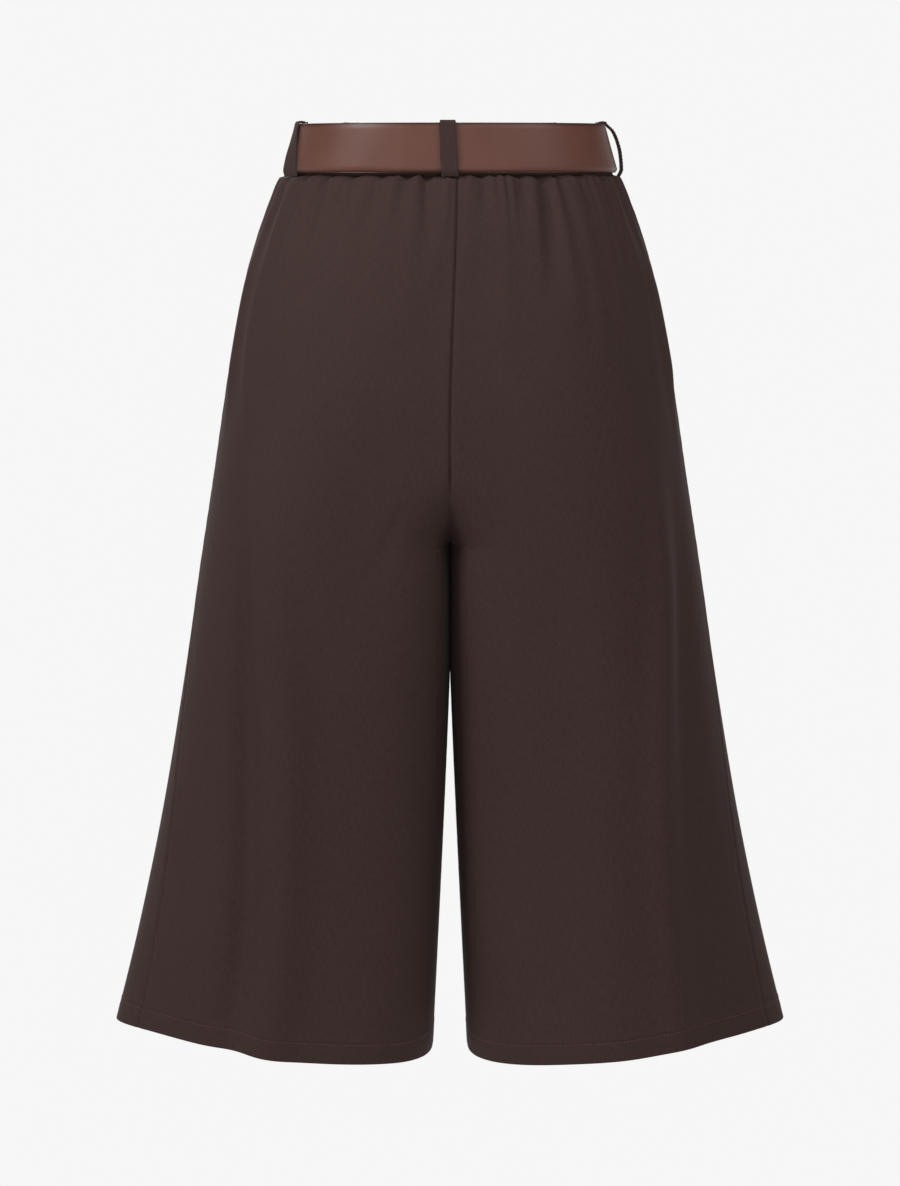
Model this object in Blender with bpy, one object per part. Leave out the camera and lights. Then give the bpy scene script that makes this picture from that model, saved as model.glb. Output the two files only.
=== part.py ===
"""Bermuda shorts: wide-leg, knee-covering shorts with a gathered elastic back waist and a leather belt.

The garment stands as if worn, hollow, with +Z up. Its front faces -Y and the wearer's left is +X.
The origin lies on the middle plane, half-way up the waistband. Every cloth piece is a thin
wall whose points come from one description of the garment's surface: a level z and a place w on
that level, where w runs from 0 at the centre-back seam (or the inseam), over 1 at the side seam,
to 2 at the centre-front seam (or the inseam again). The left half is worked out, and the right
half is its mirror image with folds of its own.
"""
import math

import bmesh
import bpy
import numpy as np
from mathutils import Matrix

# ---- driving sizes, in metres ---------------------------------------------------------------
SEAM_GAP = 0.0003             # between neighbouring pieces
CLOTH = 0.0013                # wall of the suiting
HEM_CLOTH = 0.0026            # the wall where the hem is turned up
HEM_DEPTH = 0.020
HEM_RISE = 0.021              # how much higher the hem is at the side seam than at the inseam

WAIST_SEAM_Z = -0.0200
WAISTBAND_TOP_Z = 0.0178
WAIST_SHIFT = -0.0026         # the waist seam sits a little to the wearer's right
TOP_SHIFT = -0.0007           # and so does the waistband's top
RING_TOP_Z = 0.0200
SHIFT_END_Z = -0.0214         # and the cloth is back in the middle down here
SEAM_LEAN = -0.0053           # how far the centre-back seam lies to the wearer's right at the waist
LEAN_END_Z = -0.210
LEAN_REACH = 0.12             # from the seam to where the lean has died out
HIP_Z = -0.195                # where the centre-back seam starts to curve under
CROTCH_Z = -0.292
CROTCH_Y = -0.004
INNER_HEM_Z = -0.6845
CROTCH_CURVE = 1.3            # how the centre seams leave the crotch: more makes a wider hollow
HEM_HALF_GAP = 0.0138         # half of the gap between the legs at the hem
TOUCH_Z = -0.376              # down to here the two legs touch

POCKET_TOP_Z = -0.085
POCKET_LOW_Z = -0.235
POCKET_OPEN = 0.0028          # how far each edge of a pocket mouth stands back from the seam

WAISTBAND_CLOTH = 0.0026
BELT_WIDTH = 0.0364
BELT_MID_Z = 0.0004
BELT_LEATHER = 0.0026
BELT_OVER_BAND = 0.0016       # from the waistband to the belt's inner face
LOOP_WIDTH = 0.0128
LOOP_CLOTH = 0.0016
LOOP_CLEAR = 0.0006           # between the belt and the inner face of a loop
LOOP_SHOULDER = 0.0018        # how far down the loop's rounded top reaches
LOOP_END_Z = -0.0203
LOOP_STEPS = 10
LOOP_TUCK = 0.0012            # how far the loop's sewn end runs in under the belt

# ---- the garment's surface, one row for each level -------------------------------------------
# half_width, back_depth, front_depth: how far the level reaches to the side, back and front
# back_crest, front_crest: distance from the middle to the place that reaches furthest
# corner: exponent of the rounding between a leg's back or front and its inner side
# edge: exponent of the rounding towards the side seam
LEVEL_COLUMNS = ("z", "half_width", "back_depth", "front_depth",
                 "back_crest", "front_crest", "corner", "edge")
LEVELS = (
    (0.0200, 0.1109, 0.0900, 0.0880, 0.004, 0.004, 5.0, 2.15),
    (-0.0200, 0.1202, 0.0935, 0.0905, 0.004, 0.004, 5.0, 2.15),
    (-0.0210, 0.1275, 0.0960, 0.0915, 0.004, 0.004, 5.0, 2.15),
    (-0.0232, 0.1291, 0.0982, 0.0927, 0.005, 0.005, 5.0, 2.15),
    (-0.0275, 0.1312, 0.1000, 0.0938, 0.006, 0.006, 5.0, 2.15),
    (-0.0427, 0.1371, 0.1046, 0.0962, 0.010, 0.010, 5.0, 2.15),
    (-0.0608, 0.1436, 0.1088, 0.0985, 0.015, 0.014, 5.0, 2.15),
    (-0.0968, 0.1540, 0.1150, 0.1020, 0.025, 0.022, 5.0, 2.15),
    (-0.1330, 0.1614, 0.1195, 0.1045, 0.036, 0.032, 5.0, 2.15),
    (-0.1875, 0.1703, 0.1225, 0.1060, 0.052, 0.048, 5.0, 2.15),
    (-0.2421, 0.1783, 0.1210, 0.1050, 0.070, 0.066, 5.0, 2.15),
    (-0.3050, 0.1881, 0.1170, 0.1020, 0.088, 0.086, 5.0, 2.15),
    (-0.4073, 0.2036, 0.1100, 0.0970, 0.102, 0.102, 3.8, 2.05),
    (-0.4999, 0.2195, 0.1045, 0.0930, 0.110, 0.112, 3.3, 1.95),
    (-0.5932, 0.2392, 0.0995, 0.0895, 0.118, 0.122, 3.1, 1.85),
    (-0.6640, 0.2566, 0.0955, 0.0870, 0.124, 0.130, 3.0, 1.75),
    (-0.6900, 0.2630, 0.0940, 0.0860, 0.126, 0.132, 2.9, 1.75),
)

# ---- folds ------------------------------------------------------------------------------------
# w_top, w_low: place at the upper and the lower end; size: half width at the top, then at the low end;
# height: how far the fold stands out (+) or dips in (-)
# columns: w_top, w_low, z_top, z_low, size_top, size_low, height
LEFT_GATHERS = (
    (0.125, 0.10, -0.020, -0.085, 0.0040, 0.0085, -0.0046),
    (0.22, 0.20, -0.020, -0.070, 0.0038, 0.0080, -0.0026),
    (0.33, 0.33, -0.020, -0.085, 0.0040, 0.0100, -0.0024),
    (0.46, 0.47, -0.020, -0.075, 0.0036, 0.0080, -0.0030),
    (0.57, 0.58, -0.020, -0.095, 0.0036, 0.0100, -0.0032),
    (0.70, 0.69, -0.020, -0.120, 0.0045, 0.0120, -0.0040),
    (0.83, 0.80, -0.020, -0.105, 0.0040, 0.0110, -0.0036),
    (0.94, 0.93, -0.020, -0.085, 0.0036, 0.0090, -0.0030),
)
RIGHT_GATHERS = (
    (0.11, 0.12, -0.020, -0.065, 0.0036, 0.0080, -0.0026),
    (0.28, 0.27, -0.020, -0.062, 0.0034, 0.0070, -0.0032),
    (0.38, 0.32, -0.020, -0.135, 0.0056, 0.0110, -0.0050),
    (0.46, 0.47, -0.020, -0.070, 0.0032, 0.0070, -0.0026),
    (0.58, 0.58, -0.020, -0.060, 0.0040, 0.0080, -0.0020),
    (0.73, 0.69, -0.020, -0.130, 0.0045, 0.0120, -0.0044),
    (0.85, 0.83, -0.020, -0.100, 0.0038, 0.0100, -0.0036),
    (0.94, 0.92, -0.020, -0.080, 0.0036, 0.0090, -0.0030),
)
LEFT_DRAPES = (
    (0.86, 0.87, -0.060, -0.200, 0.0110, 0.0150, 0.0020),
    (0.54, 0.50, -0.160, -0.800, 0.0140, 0.0240, 0.0076),
    (0.67, 0.62, -0.150, -0.780, 0.0115, 0.0180, -0.0092),
    (0.22, 0.22, -0.330, -0.760, 0.0280, 0.0380, -0.0030),
    (1.30, 1.34, -0.250, -0.760, 0.0280, 0.0360, -0.0040),
    (1.55, 1.52, -0.280, -0.800, 0.0240, 0.0340, 0.0060),
    (1.78, 1.76, -0.320, -0.780, 0.0240, 0.0300, -0.0035),
)
RIGHT_DRAPES = (
    (0.83, 0.86, -0.060, -0.200, 0.0110, 0.0150, 0.0035),
    (0.67, 0.66, -0.170, -0.760, 0.0110, 0.0180, 0.0055),
    (0.77, 0.76, -0.200, -0.720, 0.0120, 0.0200, -0.0050),
    (0.45, 0.44, -0.330, -0.780, 0.0300, 0.0420, 0.0035),
    (0.32, 0.30, -0.360, -0.760, 0.0260, 0.0360, -0.0030),
    (1.28, 1.32, -0.270, -0.760, 0.0260, 0.0360, -0.0040),
    (1.50, 1.48, -0.260, -0.800, 0.0260, 0.0340, 0.0055),
    (1.74, 1.73, -0.320, -0.780, 0.0240, 0.0300, -0.0035),
)
FOLDS = {"left": (LEFT_GATHERS, LEFT_DRAPES), "right": (RIGHT_GATHERS, RIGHT_DRAPES)}
# how far past the widest place, towards the back, the side seam lies at the hem
SEAM_TURN = {"left": 0.42, "right": 0.34}

# ---- mesh fineness ----------------------------------------------------------------------------
BACK_COLUMNS = 34
FRONT_COLUMNS = 16
SEAT_ROWS = 10
CROTCH_ROWS = 7
LEG_ROWS = 8
BAND_WAVES = 22               # gathers of the elastic back waistband

# ---- finishes ---------------------------------------------------------------------------------
SUITING = ("suiting", (0.055, 0.032, 0.028), 0.85, 0.0)
LEATHER = ("belt_leather", (0.150, 0.055, 0.035), 0.45, 0.0)
METAL = ("buckle_metal", (0.35, 0.24, 0.13), 0.35, 1.0)


def clear_scene():
    """Remove whatever the opened scene holds."""
    for thing in list(bpy.data.objects):
        bpy.data.objects.remove(thing, do_unlink=True)


def finish_material(finish):
    """Return the named Principled material, made once."""
    name, colour, roughness, metallic = finish
    material = bpy.data.materials.get(name)
    if material is None:
        material = bpy.data.materials.new(name)
        material.use_nodes = True
        shader = material.node_tree.nodes["Principled BSDF"]
        shader.inputs["Base Color"].default_value = (*colour, 1.0)
        shader.inputs["Roughness"].default_value = roughness
        shader.inputs["Metallic"].default_value = metallic
    return material


def smoothstep(t):
    t = np.clip(t, 0.0, 1.0)
    return t * t * (3.0 - 2.0 * t)


def level_value(column, z):
    """Read one column of LEVELS at height z along a smooth curve without overshoot."""
    at = np.array([row[0] for row in LEVELS])[::-1]
    value = np.array([row[LEVEL_COLUMNS.index(column)] for row in LEVELS])[::-1]
    step = np.diff(at)
    slope = np.diff(value) / step
    tangent = np.empty_like(value)
    tangent[0] = slope[0]
    tangent[-1] = slope[-1]
    same_way = slope[1:] * slope[:-1] > 0
    mean = 2 * slope[1:] * slope[:-1] / np.where(same_way, slope[1:] + slope[:-1], 1.0)
    tangent[1:-1] = np.where(same_way, mean, 0.0)
    z = np.clip(z, at[0], at[-1])
    i = np.clip(np.searchsorted(at, z) - 1, 0, len(step) - 1)
    t = (z - at[i]) / step[i]
    rise = value[i + 1] - value[i]
    start, end = tangent[i] * step[i], tangent[i + 1] * step[i]
    return value[i] + t * (start + t * (3 * rise - 2 * start - end + t * (start + end - 2 * rise)))


def corner(start, end, exponent, steps):
    """Directions and radii of a superellipse arc, from the angle start to the angle end."""
    angle = start + (end - start) * np.linspace(0.0, 1.0, steps)
    across, along = np.abs(np.cos(angle)), np.abs(np.sin(angle))
    radius = (across ** exponent + along ** exponent) ** (-1.0 / exponent)
    return radius * np.cos(angle), radius * np.sin(angle)


def half_level(z, side):
    """Return the left half of one level: for its back part and its front part a fine outline, the
    length along it, and the length that the cloth would have if the legs had no inner side."""
    width, back, front, back_crest, front_crest, bend, edge = (level_value(c, z) for c in LEVEL_COLUMNS[1:])
    leg = np.clip((TOUCH_Z - z) / (TOUCH_Z - INNER_HEM_Z), 0.0, 1.2)
    inner_x = SEAM_GAP / 2 + HEM_HALF_GAP * leg ** 1.15
    above = float(np.clip((z - CROTCH_Z) / (HIP_Z - CROTCH_Z), 0.0, 1.0))
    closure = max(1.0 - above ** CROTCH_CURVE, 0.02)
    opening = (1.0 - closure ** bend) ** (1.0 / bend)
    first = math.atan2(opening, closure)
    turn = SEAM_TURN[side] * float(smoothstep((-0.20 - z) / 0.40)) + 0.06
    quarter = math.pi / 2

    inner_back = corner(first, quarter, bend, 40)
    outer_back = corner(quarter, turn, edge, 40)
    side_back = corner(turn, 0.0, edge, 12)
    outer_front = corner(0.0, quarter, edge, 40)
    inner_front = corner(quarter, first, bend, 40)
    crotch_back, crotch_front = CROTCH_Y + SEAM_GAP / 2, CROTCH_Y - SEAM_GAP / 2

    def outline(crest, depth, origin, sign, arc, inner):
        reach = (crest - inner_x) / closure if inner else width - crest
        x = crest - reach * arc[0] if inner else crest + reach * arc[0]
        return np.column_stack([x, origin + sign * (depth - sign * origin) * arc[1]])

    back_part = np.vstack([
        outline(back_crest, back, crotch_back, 1, inner_back, True),
        outline(back_crest, back, 0.0, 1, outer_back, False)[1:],
    ])
    front_part = np.vstack([
        outline(back_crest, back, 0.0, 1, side_back, False),
        outline(front_crest, front, 0.0, -1, outer_front, False)[1:],
        outline(front_crest, front, crotch_front, -1, inner_front, True)[1:],
    ])
    back_run, front_run = outline_run(back_part), outline_run(front_part)
    back_crest_at, front_crest_at = len(inner_back[0]) - 1, len(side_back[0]) + len(outer_front[0]) - 2
    back_plain = back_run[-1] - back_run[back_crest_at] + back_crest - inner_x
    front_plain = front_run[front_crest_at] + front_crest - inner_x
    return (back_part, back_run, back_plain), (front_part, front_run, front_plain)


def outline_run(outline):
    """The length along an outline up to each of its points."""
    return np.concatenate([[0.0], np.cumsum(np.linalg.norm(np.diff(outline, axis=0), axis=1))])


LEVEL_STORE = {}


def stored_level(z, side):
    """Return half_level, worked out once for each level."""
    key = (round(float(z), 7), side)
    if key not in LEVEL_STORE:
        LEVEL_STORE[key] = half_level(float(z), side)
    return LEVEL_STORE[key]


def plain_place(w, z, side):
    """Turn w into the place that folds go by, which the crotch does not shift sideways."""
    _, run, plain = stored_level(z, side)[0 if w <= 1.0 else 1]
    return 1.0 + (w - 1.0) * run[-1] / plain


def column_place(t, z, side):
    """The place w of a panel's column t, where |t - 1| runs from 0 at the side seam to 1.

    Near the side seam the columns keep their spacing, and the inner side of the leg is taken up
    by the columns next to the inseam.
    """
    _, run, plain = stored_level(z, side)[0 if t <= 1.0 else 1]
    away = abs(t - 1.0)
    at = (plain * away + (run[-1] - plain) * away ** 3) / run[-1]
    return 1.0 + math.copysign(at, t - 1.0)


def base_point(w, z, side):
    """The surface without folds, at place w of level z."""
    outline, run, _ = stored_level(z, side)[0 if w <= 1.0 else 1]
    at = (w if w <= 1.0 else w - 1.0) * run[-1]
    return np.array([np.interp(at, run, outline[:, 0]), np.interp(at, run, outline[:, 1]), z])


def level_length(z, side, part):
    return stored_level(z, side)[part][1][-1]


def fold_height(w, z, side):
    """How far the folds move the surface outwards at place w of level z."""
    plain = stored_level(z, side)[0 if w <= 1.0 else 1][2]
    place = plain_place(w, z, side)
    gathers, drapes = FOLDS[side]
    height = 0.0
    for table, is_drape in ((gathers, False), (drapes, True)):
        for w_top, w_low, z_top, z_low, size_top, size_low, depth in table:
            t = (z_top - z) / (z_top - z_low)
            if t <= (0.0 if is_drape else -2.0) or t >= 1.0:
                continue
            t_in = max(t, 0.0)
            size = size_top + (size_low - size_top) * t_in
            away = (place - (w_top + (w_low - w_top) * t_in)) * plain / size
            fade = float(smoothstep(t / 0.35)) if is_drape else 1.0
            fade *= float(smoothstep((1.0 - t_in) / (0.30 if is_drape else 1.0)))
            height += depth * fade * math.exp(-away * away)
    near_end = min(place, 2.0 - place) * plain
    seat = float(smoothstep((HIP_Z - z) / 0.06))
    quiet = 0.006 + 0.030 * seat
    return height * float(smoothstep(near_end / quiet))


def base_normal(w, z, side):
    """The outward direction of the surface without folds."""
    low, high = (w - 1e-3, w + 1e-3) if w > 1e-3 else (w, w + 2e-3)
    if high > 2.0:
        low, high = 2.0 - 2e-3, 2.0
    along = base_point(high, z, side) - base_point(low, z, side)
    down = base_point(w, z - 5e-4, side) - base_point(w, z + 5e-4, side)
    normal = np.cross(along, down)
    return normal / np.linalg.norm(normal)


def waist_shift(z):
    """How far the surface lies to one side at height z."""
    above = max((z - WAIST_SEAM_Z) / (RING_TOP_Z - WAIST_SEAM_Z), 0.0)
    below = float(smoothstep((z - SHIFT_END_Z) / (WAIST_SEAM_Z - SHIFT_END_Z)))
    return WAIST_SHIFT * below + (TOP_SHIFT - WAIST_SHIFT) * above


def seam_lean(x, y, z):
    """How far the back's centre seam and the cloth near it lie to one side of the rest."""
    on_back = y > LEAN_REACH / 4
    fade = float(smoothstep((z - LEAN_END_Z) / (WAIST_SEAM_Z - LEAN_END_Z)))
    return (SEAM_LEAN * fade - waist_shift(z)) * max(0.0, 1.0 - (x / LEAN_REACH) ** 2) * on_back


def surface(w, z, side):
    """A point of the finished left or right half, folds included."""
    point = base_point(w, z, side)
    height = fold_height(w, z, side)
    if height:
        point = point + height * base_normal(w, z, side)
    point[0] = max(point[0], SEAM_GAP / 2)
    if side == "right":
        point[0] = -point[0]
    point[0] += seam_lean(point[0], point[1], z) + waist_shift(z)
    return point


def surface_normal(w, z, side):
    """The outward direction of the finished surface."""
    low, high = max(w - 2e-3, 0.0), min(w + 2e-3, 2.0)
    along = surface(high, z, side) - surface(low, z, side)
    down = surface(w, z - 4e-4, side) - surface(w, z + 4e-4, side)
    normal = np.cross(along, down) * (1.0 if side == "left" else -1.0)
    return normal / np.linalg.norm(normal)


# ---- panels -----------------------------------------------------------------------------------
def row_levels():
    """Return (inner z, outer z, share of the hem's curve) for each row, from waist seam to hem.

    A row starts at the centre seam or inseam at its inner z and reaches the side seam at its
    outer z. The rows bunch up where the gathers start and follow the crotch curve by its angle.
    """
    outer_hem = INNER_HEM_Z + HEM_RISE
    seat_low, crotch_low = -0.250, -0.380
    rows = []
    for k in range(SEAT_ROWS):
        t = (k / SEAT_ROWS) ** 1.55
        rows.append((WAIST_SEAM_Z + (HIP_Z - WAIST_SEAM_Z) * t,
                     WAIST_SEAM_Z + (seat_low - WAIST_SEAM_Z) * t))
    closures, _ = corner(math.pi / 2, 0.0, level_value("corner", CROTCH_Z), CROTCH_ROWS + 1)
    for k in range(CROTCH_ROWS):
        above = (1.0 - closures[k]) ** (1.0 / CROTCH_CURVE)
        rows.append((CROTCH_Z + (HIP_Z - CROTCH_Z) * above,
                     seat_low + (crotch_low - seat_low) * k / CROTCH_ROWS))
    for k in range(LEG_ROWS):
        t = k / LEG_ROWS
        rows.append((CROTCH_Z + (INNER_HEM_Z + HEM_DEPTH - CROTCH_Z) * t,
                     crotch_low + (outer_hem + HEM_DEPTH - crotch_low) * t))
    rows.append((INNER_HEM_Z + HEM_DEPTH, outer_hem + HEM_DEPTH))
    rows.append((INNER_HEM_Z, outer_hem))
    count = len(rows) - 1
    return [(*row, k / count) for k, row in enumerate(rows)]


def row_height(row, t):
    """The height of a row at column t; the hem keeps low at the back and rises to the side seam."""
    inner_z, outer_z, hem_share = row
    near_side = max(min(t, 2.0 - t), 0.0)
    reach = (1.0 - hem_share) * near_side ** 1.3 + hem_share * float(smoothstep(near_side)) ** 1.5
    return inner_z + (outer_z - inner_z) * reach


def pocket_stand_back(z):
    """How far a panel's edge stands back from the side seam, to open the pocket mouth."""
    t = (z - POCKET_LOW_Z) / (POCKET_TOP_Z - POCKET_LOW_Z)
    return POCKET_OPEN * math.sin(math.pi * t) if 0.0 < t < 1.0 else 0.0


def cloth_thickness(z, hem_z):
    return HEM_CLOTH if z < hem_z + HEM_DEPTH - 0.001 else CLOTH


def panel_grid(side, part, columns):
    """Outer and inner points of one panel; part 0 is the back panel and part 1 the front panel."""
    outer, inner = [], []
    mirror = 1.0 if side == "left" else -1.0
    for row in row_levels():
        edge_z = row_height(row, 1.0)
        length = level_length(edge_z, side, part)
        edge = (SEAM_GAP / 2 + pocket_stand_back(edge_z)) / length
        first, last = (0.0, 1.0 - edge) if part == 0 else (1.0 + edge, 2.0)
        outer_row, inner_row = [], []
        for k in range(columns + 1):
            t = first + (last - first) * k / columns
            w = column_place(t, row_height(row, t), side)
            z = row_height(row, t)
            hem_z = row_height(HEM_ROW, t)
            point = surface(w, z, side)
            normal = surface_normal(w, z, side)
            if min(w, 2.0 - w) < 1e-6:
                normal[0] = min(normal[0] * mirror, 0.0) * mirror
            outer_row.append(point)
            inner_row.append(point - cloth_thickness(z, hem_z) * normal)
        outer.append(outer_row)
        inner.append(inner_row)
    return np.array(outer), np.array(inner)


HEM_ROW = row_levels()[-1]


def link(name, mesh, finish):
    thing = bpy.data.objects.new(name, mesh)
    mesh.materials.append(finish_material(finish))
    bpy.context.scene.collection.objects.link(thing)
    return thing


def wall(name, outer, inner, finish, ring=False):
    """Make a closed wall between two grids of points; ring joins the last column to the first."""
    rows, columns = outer.shape[:2]
    form = bmesh.new()
    near = [[form.verts.new(p) for p in row] for row in outer]
    far = [[form.verts.new(p) for p in row] for row in inner]
    steps = columns if ring else columns - 1
    for i in range(rows - 1):
        for j in range(steps):
            k = (j + 1) % columns
            form.faces.new((near[i][j], near[i + 1][j], near[i + 1][k], near[i][k]))
            form.faces.new((far[i][j], far[i][k], far[i + 1][k], far[i + 1][j]))
    for i in (0, rows - 1):
        for j in range(steps):
            k = (j + 1) % columns
            form.faces.new((near[i][j], near[i][k], far[i][k], far[i][j]))
    if not ring:
        for j in (0, columns - 1):
            for i in range(rows - 1):
                form.faces.new((near[i][j], near[i + 1][j], far[i + 1][j], far[i][j]))
    bmesh.ops.recalc_face_normals(form, faces=form.faces)
    mesh = bpy.data.meshes.new(name)
    form.to_mesh(mesh)
    form.free()
    mesh.shade_smooth()
    mesh.set_sharp_from_angle(angle=math.radians(50))
    return link(name, mesh, finish)


def make_panels():
    for side in ("left", "right"):
        for part, word, columns in ((0, "back", BACK_COLUMNS), (1, "front", FRONT_COLUMNS)):
            wall(f"{word}_{side}", *panel_grid(side, part, columns), SUITING)


# ---- the waist ring: waistband, belt and what is on it ------------------------------------------
def ring_place(q):
    """Turn a place round the ring into (w, sign of x): 0 is centre back, 1 the right side,
    2 centre front, 3 the left side and 4 centre back again."""
    q = q % 4.0
    return (q, -1.0) if q <= 2.0 else (4.0 - q, 1.0)


def ring_point(q, z, out):
    """A point of the waist ring's cone at height z, moved straight out by the distance out."""
    spots = []
    for nudge in (-2e-3, 0.0, 2e-3):
        w, sign = ring_place(q + nudge)
        low, high = base_point(w, WAIST_SEAM_Z, "left"), base_point(w, RING_TOP_Z, "left")
        spot = low + (high - low) * (z - WAIST_SEAM_Z) / (RING_TOP_Z - WAIST_SEAM_Z)
        spots.append(np.array([spot[0] * sign + waist_shift(z), spot[1], z]))
    along = spots[2] - spots[0]
    outward = np.array([along[1], -along[0], 0.0])
    if np.dot(outward[:2], spots[1][:2]) < 0:
        outward = -outward
    return spots[1] + out * outward / np.linalg.norm(outward)


def band_gather(q):
    """How far the elastic draws the back waistband in at place q."""
    wave = 0.5 - 0.5 * math.cos(2 * math.pi * BAND_WAVES * (q + 1.0) / 2.0)
    return -0.0013 * wave


def make_waistband():
    """The back half is gathered by its elastic, and the front half is plain."""
    low, high = WAIST_SEAM_Z + SEAM_GAP, WAISTBAND_TOP_Z
    side_gap = SEAM_GAP / 2 / level_length(0.0, "left", 0)
    places = np.linspace(-1.0 + side_gap, 1.0 - side_gap, BAND_WAVES * 5 + 1)
    outer = [[ring_point(q, z, band_gather(q)) for q in places] for z in (high, low)]
    inner = [[ring_point(q, z, band_gather(q) - WAISTBAND_CLOTH) for q in places] for z in (high, low)]
    wall("waistband_back", np.array(outer), np.array(inner), SUITING)
    places = np.linspace(1.0 + side_gap, 3.0 - side_gap, 33)
    outer = [[ring_point(q, z, 0.0) for q in places] for z in (high, low)]
    inner = [[ring_point(q, z, -WAISTBAND_CLOTH) for q in places] for z in (high, low)]
    wall("waistband_front", np.array(outer), np.array(inner), SUITING)


def front_place(x):
    """The place round the ring at the distance x to the wearer's left of centre front."""
    return 2.0 + x / level_length(0.0, "left", 1)


# the belt's free end, as (distance from centre front, how far it lies outside the belt's own ring)
TIP_LIFT = ((-0.020, 0.0), (0.012, 0.0070), (0.028, 0.0070), (0.042, 0.0031), (0.120, 0.0031))
TIP_END = 0.114
TIP_ROUND = 0.020
BELT_START = 0.0205           # the fixed end, from centre front
BUCKLE_HALF_WIDTH = 0.024     # to the middle of the side bars
BUCKLE_SIDE_BAR = 0.0040      # seen from the front
BUCKLE_TOP_BAR = 0.0020       # the upper and lower bars, just outside the belt's edges
BUCKLE_DEPTH = 0.0030
BUCKLE_BEND = 0.0020
BUCKLE_OUT = BELT_OVER_BAND + BELT_LEATHER + 2 * SEAM_GAP + BUCKLE_DEPTH / 2
PRONG_THICKNESS = 0.0022
PRONG_HALF_HEIGHT = 0.0012
KEEPER_PLACE = 0.0475
KEEPER_WIDTH = 0.010
KEEPER_WALL = 0.0010
KEEPER_CLEAR = 0.0008
FIRST_HOLE = 0.0085           # the prong's own hole, a slot, from centre front
HOLE_PITCH = 0.025
HOLE_SIZE = 0.0046
SLOT_LENGTH = 0.0220
SLOT_DEPTH = 0.0120
HOLE_DEPTH = 0.0034
# corners of a small bar's section, as shares of its half width and half depth
BAR_SECTION = ((-0.6, -1), (0.6, -1), (1, -0.4), (1, 0.4), (0.6, 1), (-0.6, 1), (-1, 0.4), (-1, -0.4))


def tip_lift(x):
    for (x_a, lift_a), (x_b, lift_b) in zip(TIP_LIFT, TIP_LIFT[1:]):
        if x_a <= x <= x_b:
            return lift_a + (lift_b - lift_a) * float(smoothstep((x - x_a) / (x_b - x_a)))
    return 0.0 if x < TIP_LIFT[0][0] else TIP_LIFT[-1][1]


def make_belt():
    """One strap from under the buckle on the wearer's left, round the back, to its rounded tip."""
    length = level_length(0.0, "left", 1)
    start = front_place(BELT_START) - 4.0
    front = front_place(TIP_LIFT[0][0])
    end = front_place(TIP_END)
    ring_run = np.linspace(start, front, 74)
    tip_run = front_place(np.linspace(TIP_LIFT[0][0], TIP_END - TIP_ROUND, 30))[1:]
    round_run = front_place(TIP_END - TIP_ROUND + TIP_ROUND * np.sin(np.linspace(0, 1.45, 8)))[1:]
    rows = []
    for q in (*ring_run, *tip_run, *round_run):
        x = (q - 2.0) * length
        out = BELT_OVER_BAND + (tip_lift(x) if q >= front else 0.0)
        past = max(0.0, (x - (TIP_END - TIP_ROUND)) / TIP_ROUND) if q > 2.0 else 0.0
        half = BELT_WIDTH / 2 * (1.0 - past ** 2.4) ** (1 / 2.4)
        low, high = BELT_MID_Z - half, BELT_MID_Z + half
        rows.append([ring_point(q, low, out), ring_point(q, low, out + BELT_LEATHER),
                     ring_point(q, high, out + BELT_LEATHER), ring_point(q, high, out)])
    return tube("belt_strap", rows, LEATHER)


def tube(name, sections, finish, closed=False):
    """Skin a run of equal sections; the ends are capped unless the run closes on itself."""
    form = bmesh.new()
    rings = [[form.verts.new(p) for p in section] for section in sections]
    around = len(rings[0])
    pairs = list(zip(rings, rings[1:]))
    if closed:
        pairs.append((rings[-1], rings[0]))
    for a, b in pairs:
        for k in range(around):
            form.faces.new((a[k], a[(k + 1) % around], b[(k + 1) % around], b[k]))
    if not closed:
        form.faces.new(rings[0])
        form.faces.new(rings[-1])
    bmesh.ops.recalc_face_normals(form, faces=form.faces)
    mesh = bpy.data.meshes.new(name)
    form.to_mesh(mesh)
    form.free()
    mesh.shade_smooth()
    mesh.set_sharp_from_angle(angle=math.radians(40))
    return link(name, mesh, finish)


def band_profile(q, route, width, thickness, closed, lean=0.0, turn=0.0):
    """Sections of a strap that follows a route of (distance out, z) across the ring at place q."""
    route = np.array(route)
    sections = []
    half = width / 2 / level_length(0.0, "left", 0)
    for k, (out, z) in enumerate(route):
        ahead = route[(k + 1) % len(route)] if closed or k + 1 < len(route) else route[k]
        behind = route[k - 1] if closed or k else route[k]
        step = ahead - behind
        step = step / np.linalg.norm(step)
        side = np.array([step[1], -step[0]]) * thickness / 2
        shift = lean * (z - BELT_MID_Z) / BELT_WIDTH / level_length(0.0, "left", 0)
        opened = turn * float(smoothstep(0.5 - (z - BELT_MID_Z) / BELT_WIDTH))
        section = []
        for edge, face in ((-half, -1), (half, -1), (half, 1), (-half, 1)):
            spot = route[k] + face * side
            out = spot[0] + opened * (half - edge) / (2 * half)
            section.append(ring_point(q + shift + edge, spot[1], out))
        sections.append(section)
    return sections


# columns: ring place, thickness of belt under the loop, gap between belt and loop half-way down,
# the loop's sideways lean over the belt's width, and how far its front edge turns out at the lower end
LOOPS = {
    "belt_loop_back": (-0.015, BELT_LEATHER, 0.0008, 0.0, 0.0),
    "belt_loop_left_side": (4.0 - 0.88, BELT_LEATHER, 0.0009, -0.0130, 0.0050),
    "belt_loop_right_side": (1.060, BELT_LEATHER, 0.0056, 0.0, 0.0),
    "belt_loop_left_front": (4.0 - 1.53, BELT_LEATHER + TIP_LIFT[-1][1], 0.0009, 0.0, 0.0),
    "belt_loop_right_front": (1.53, BELT_LEATHER, 0.0008, 0.0, 0.0),
}


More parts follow.
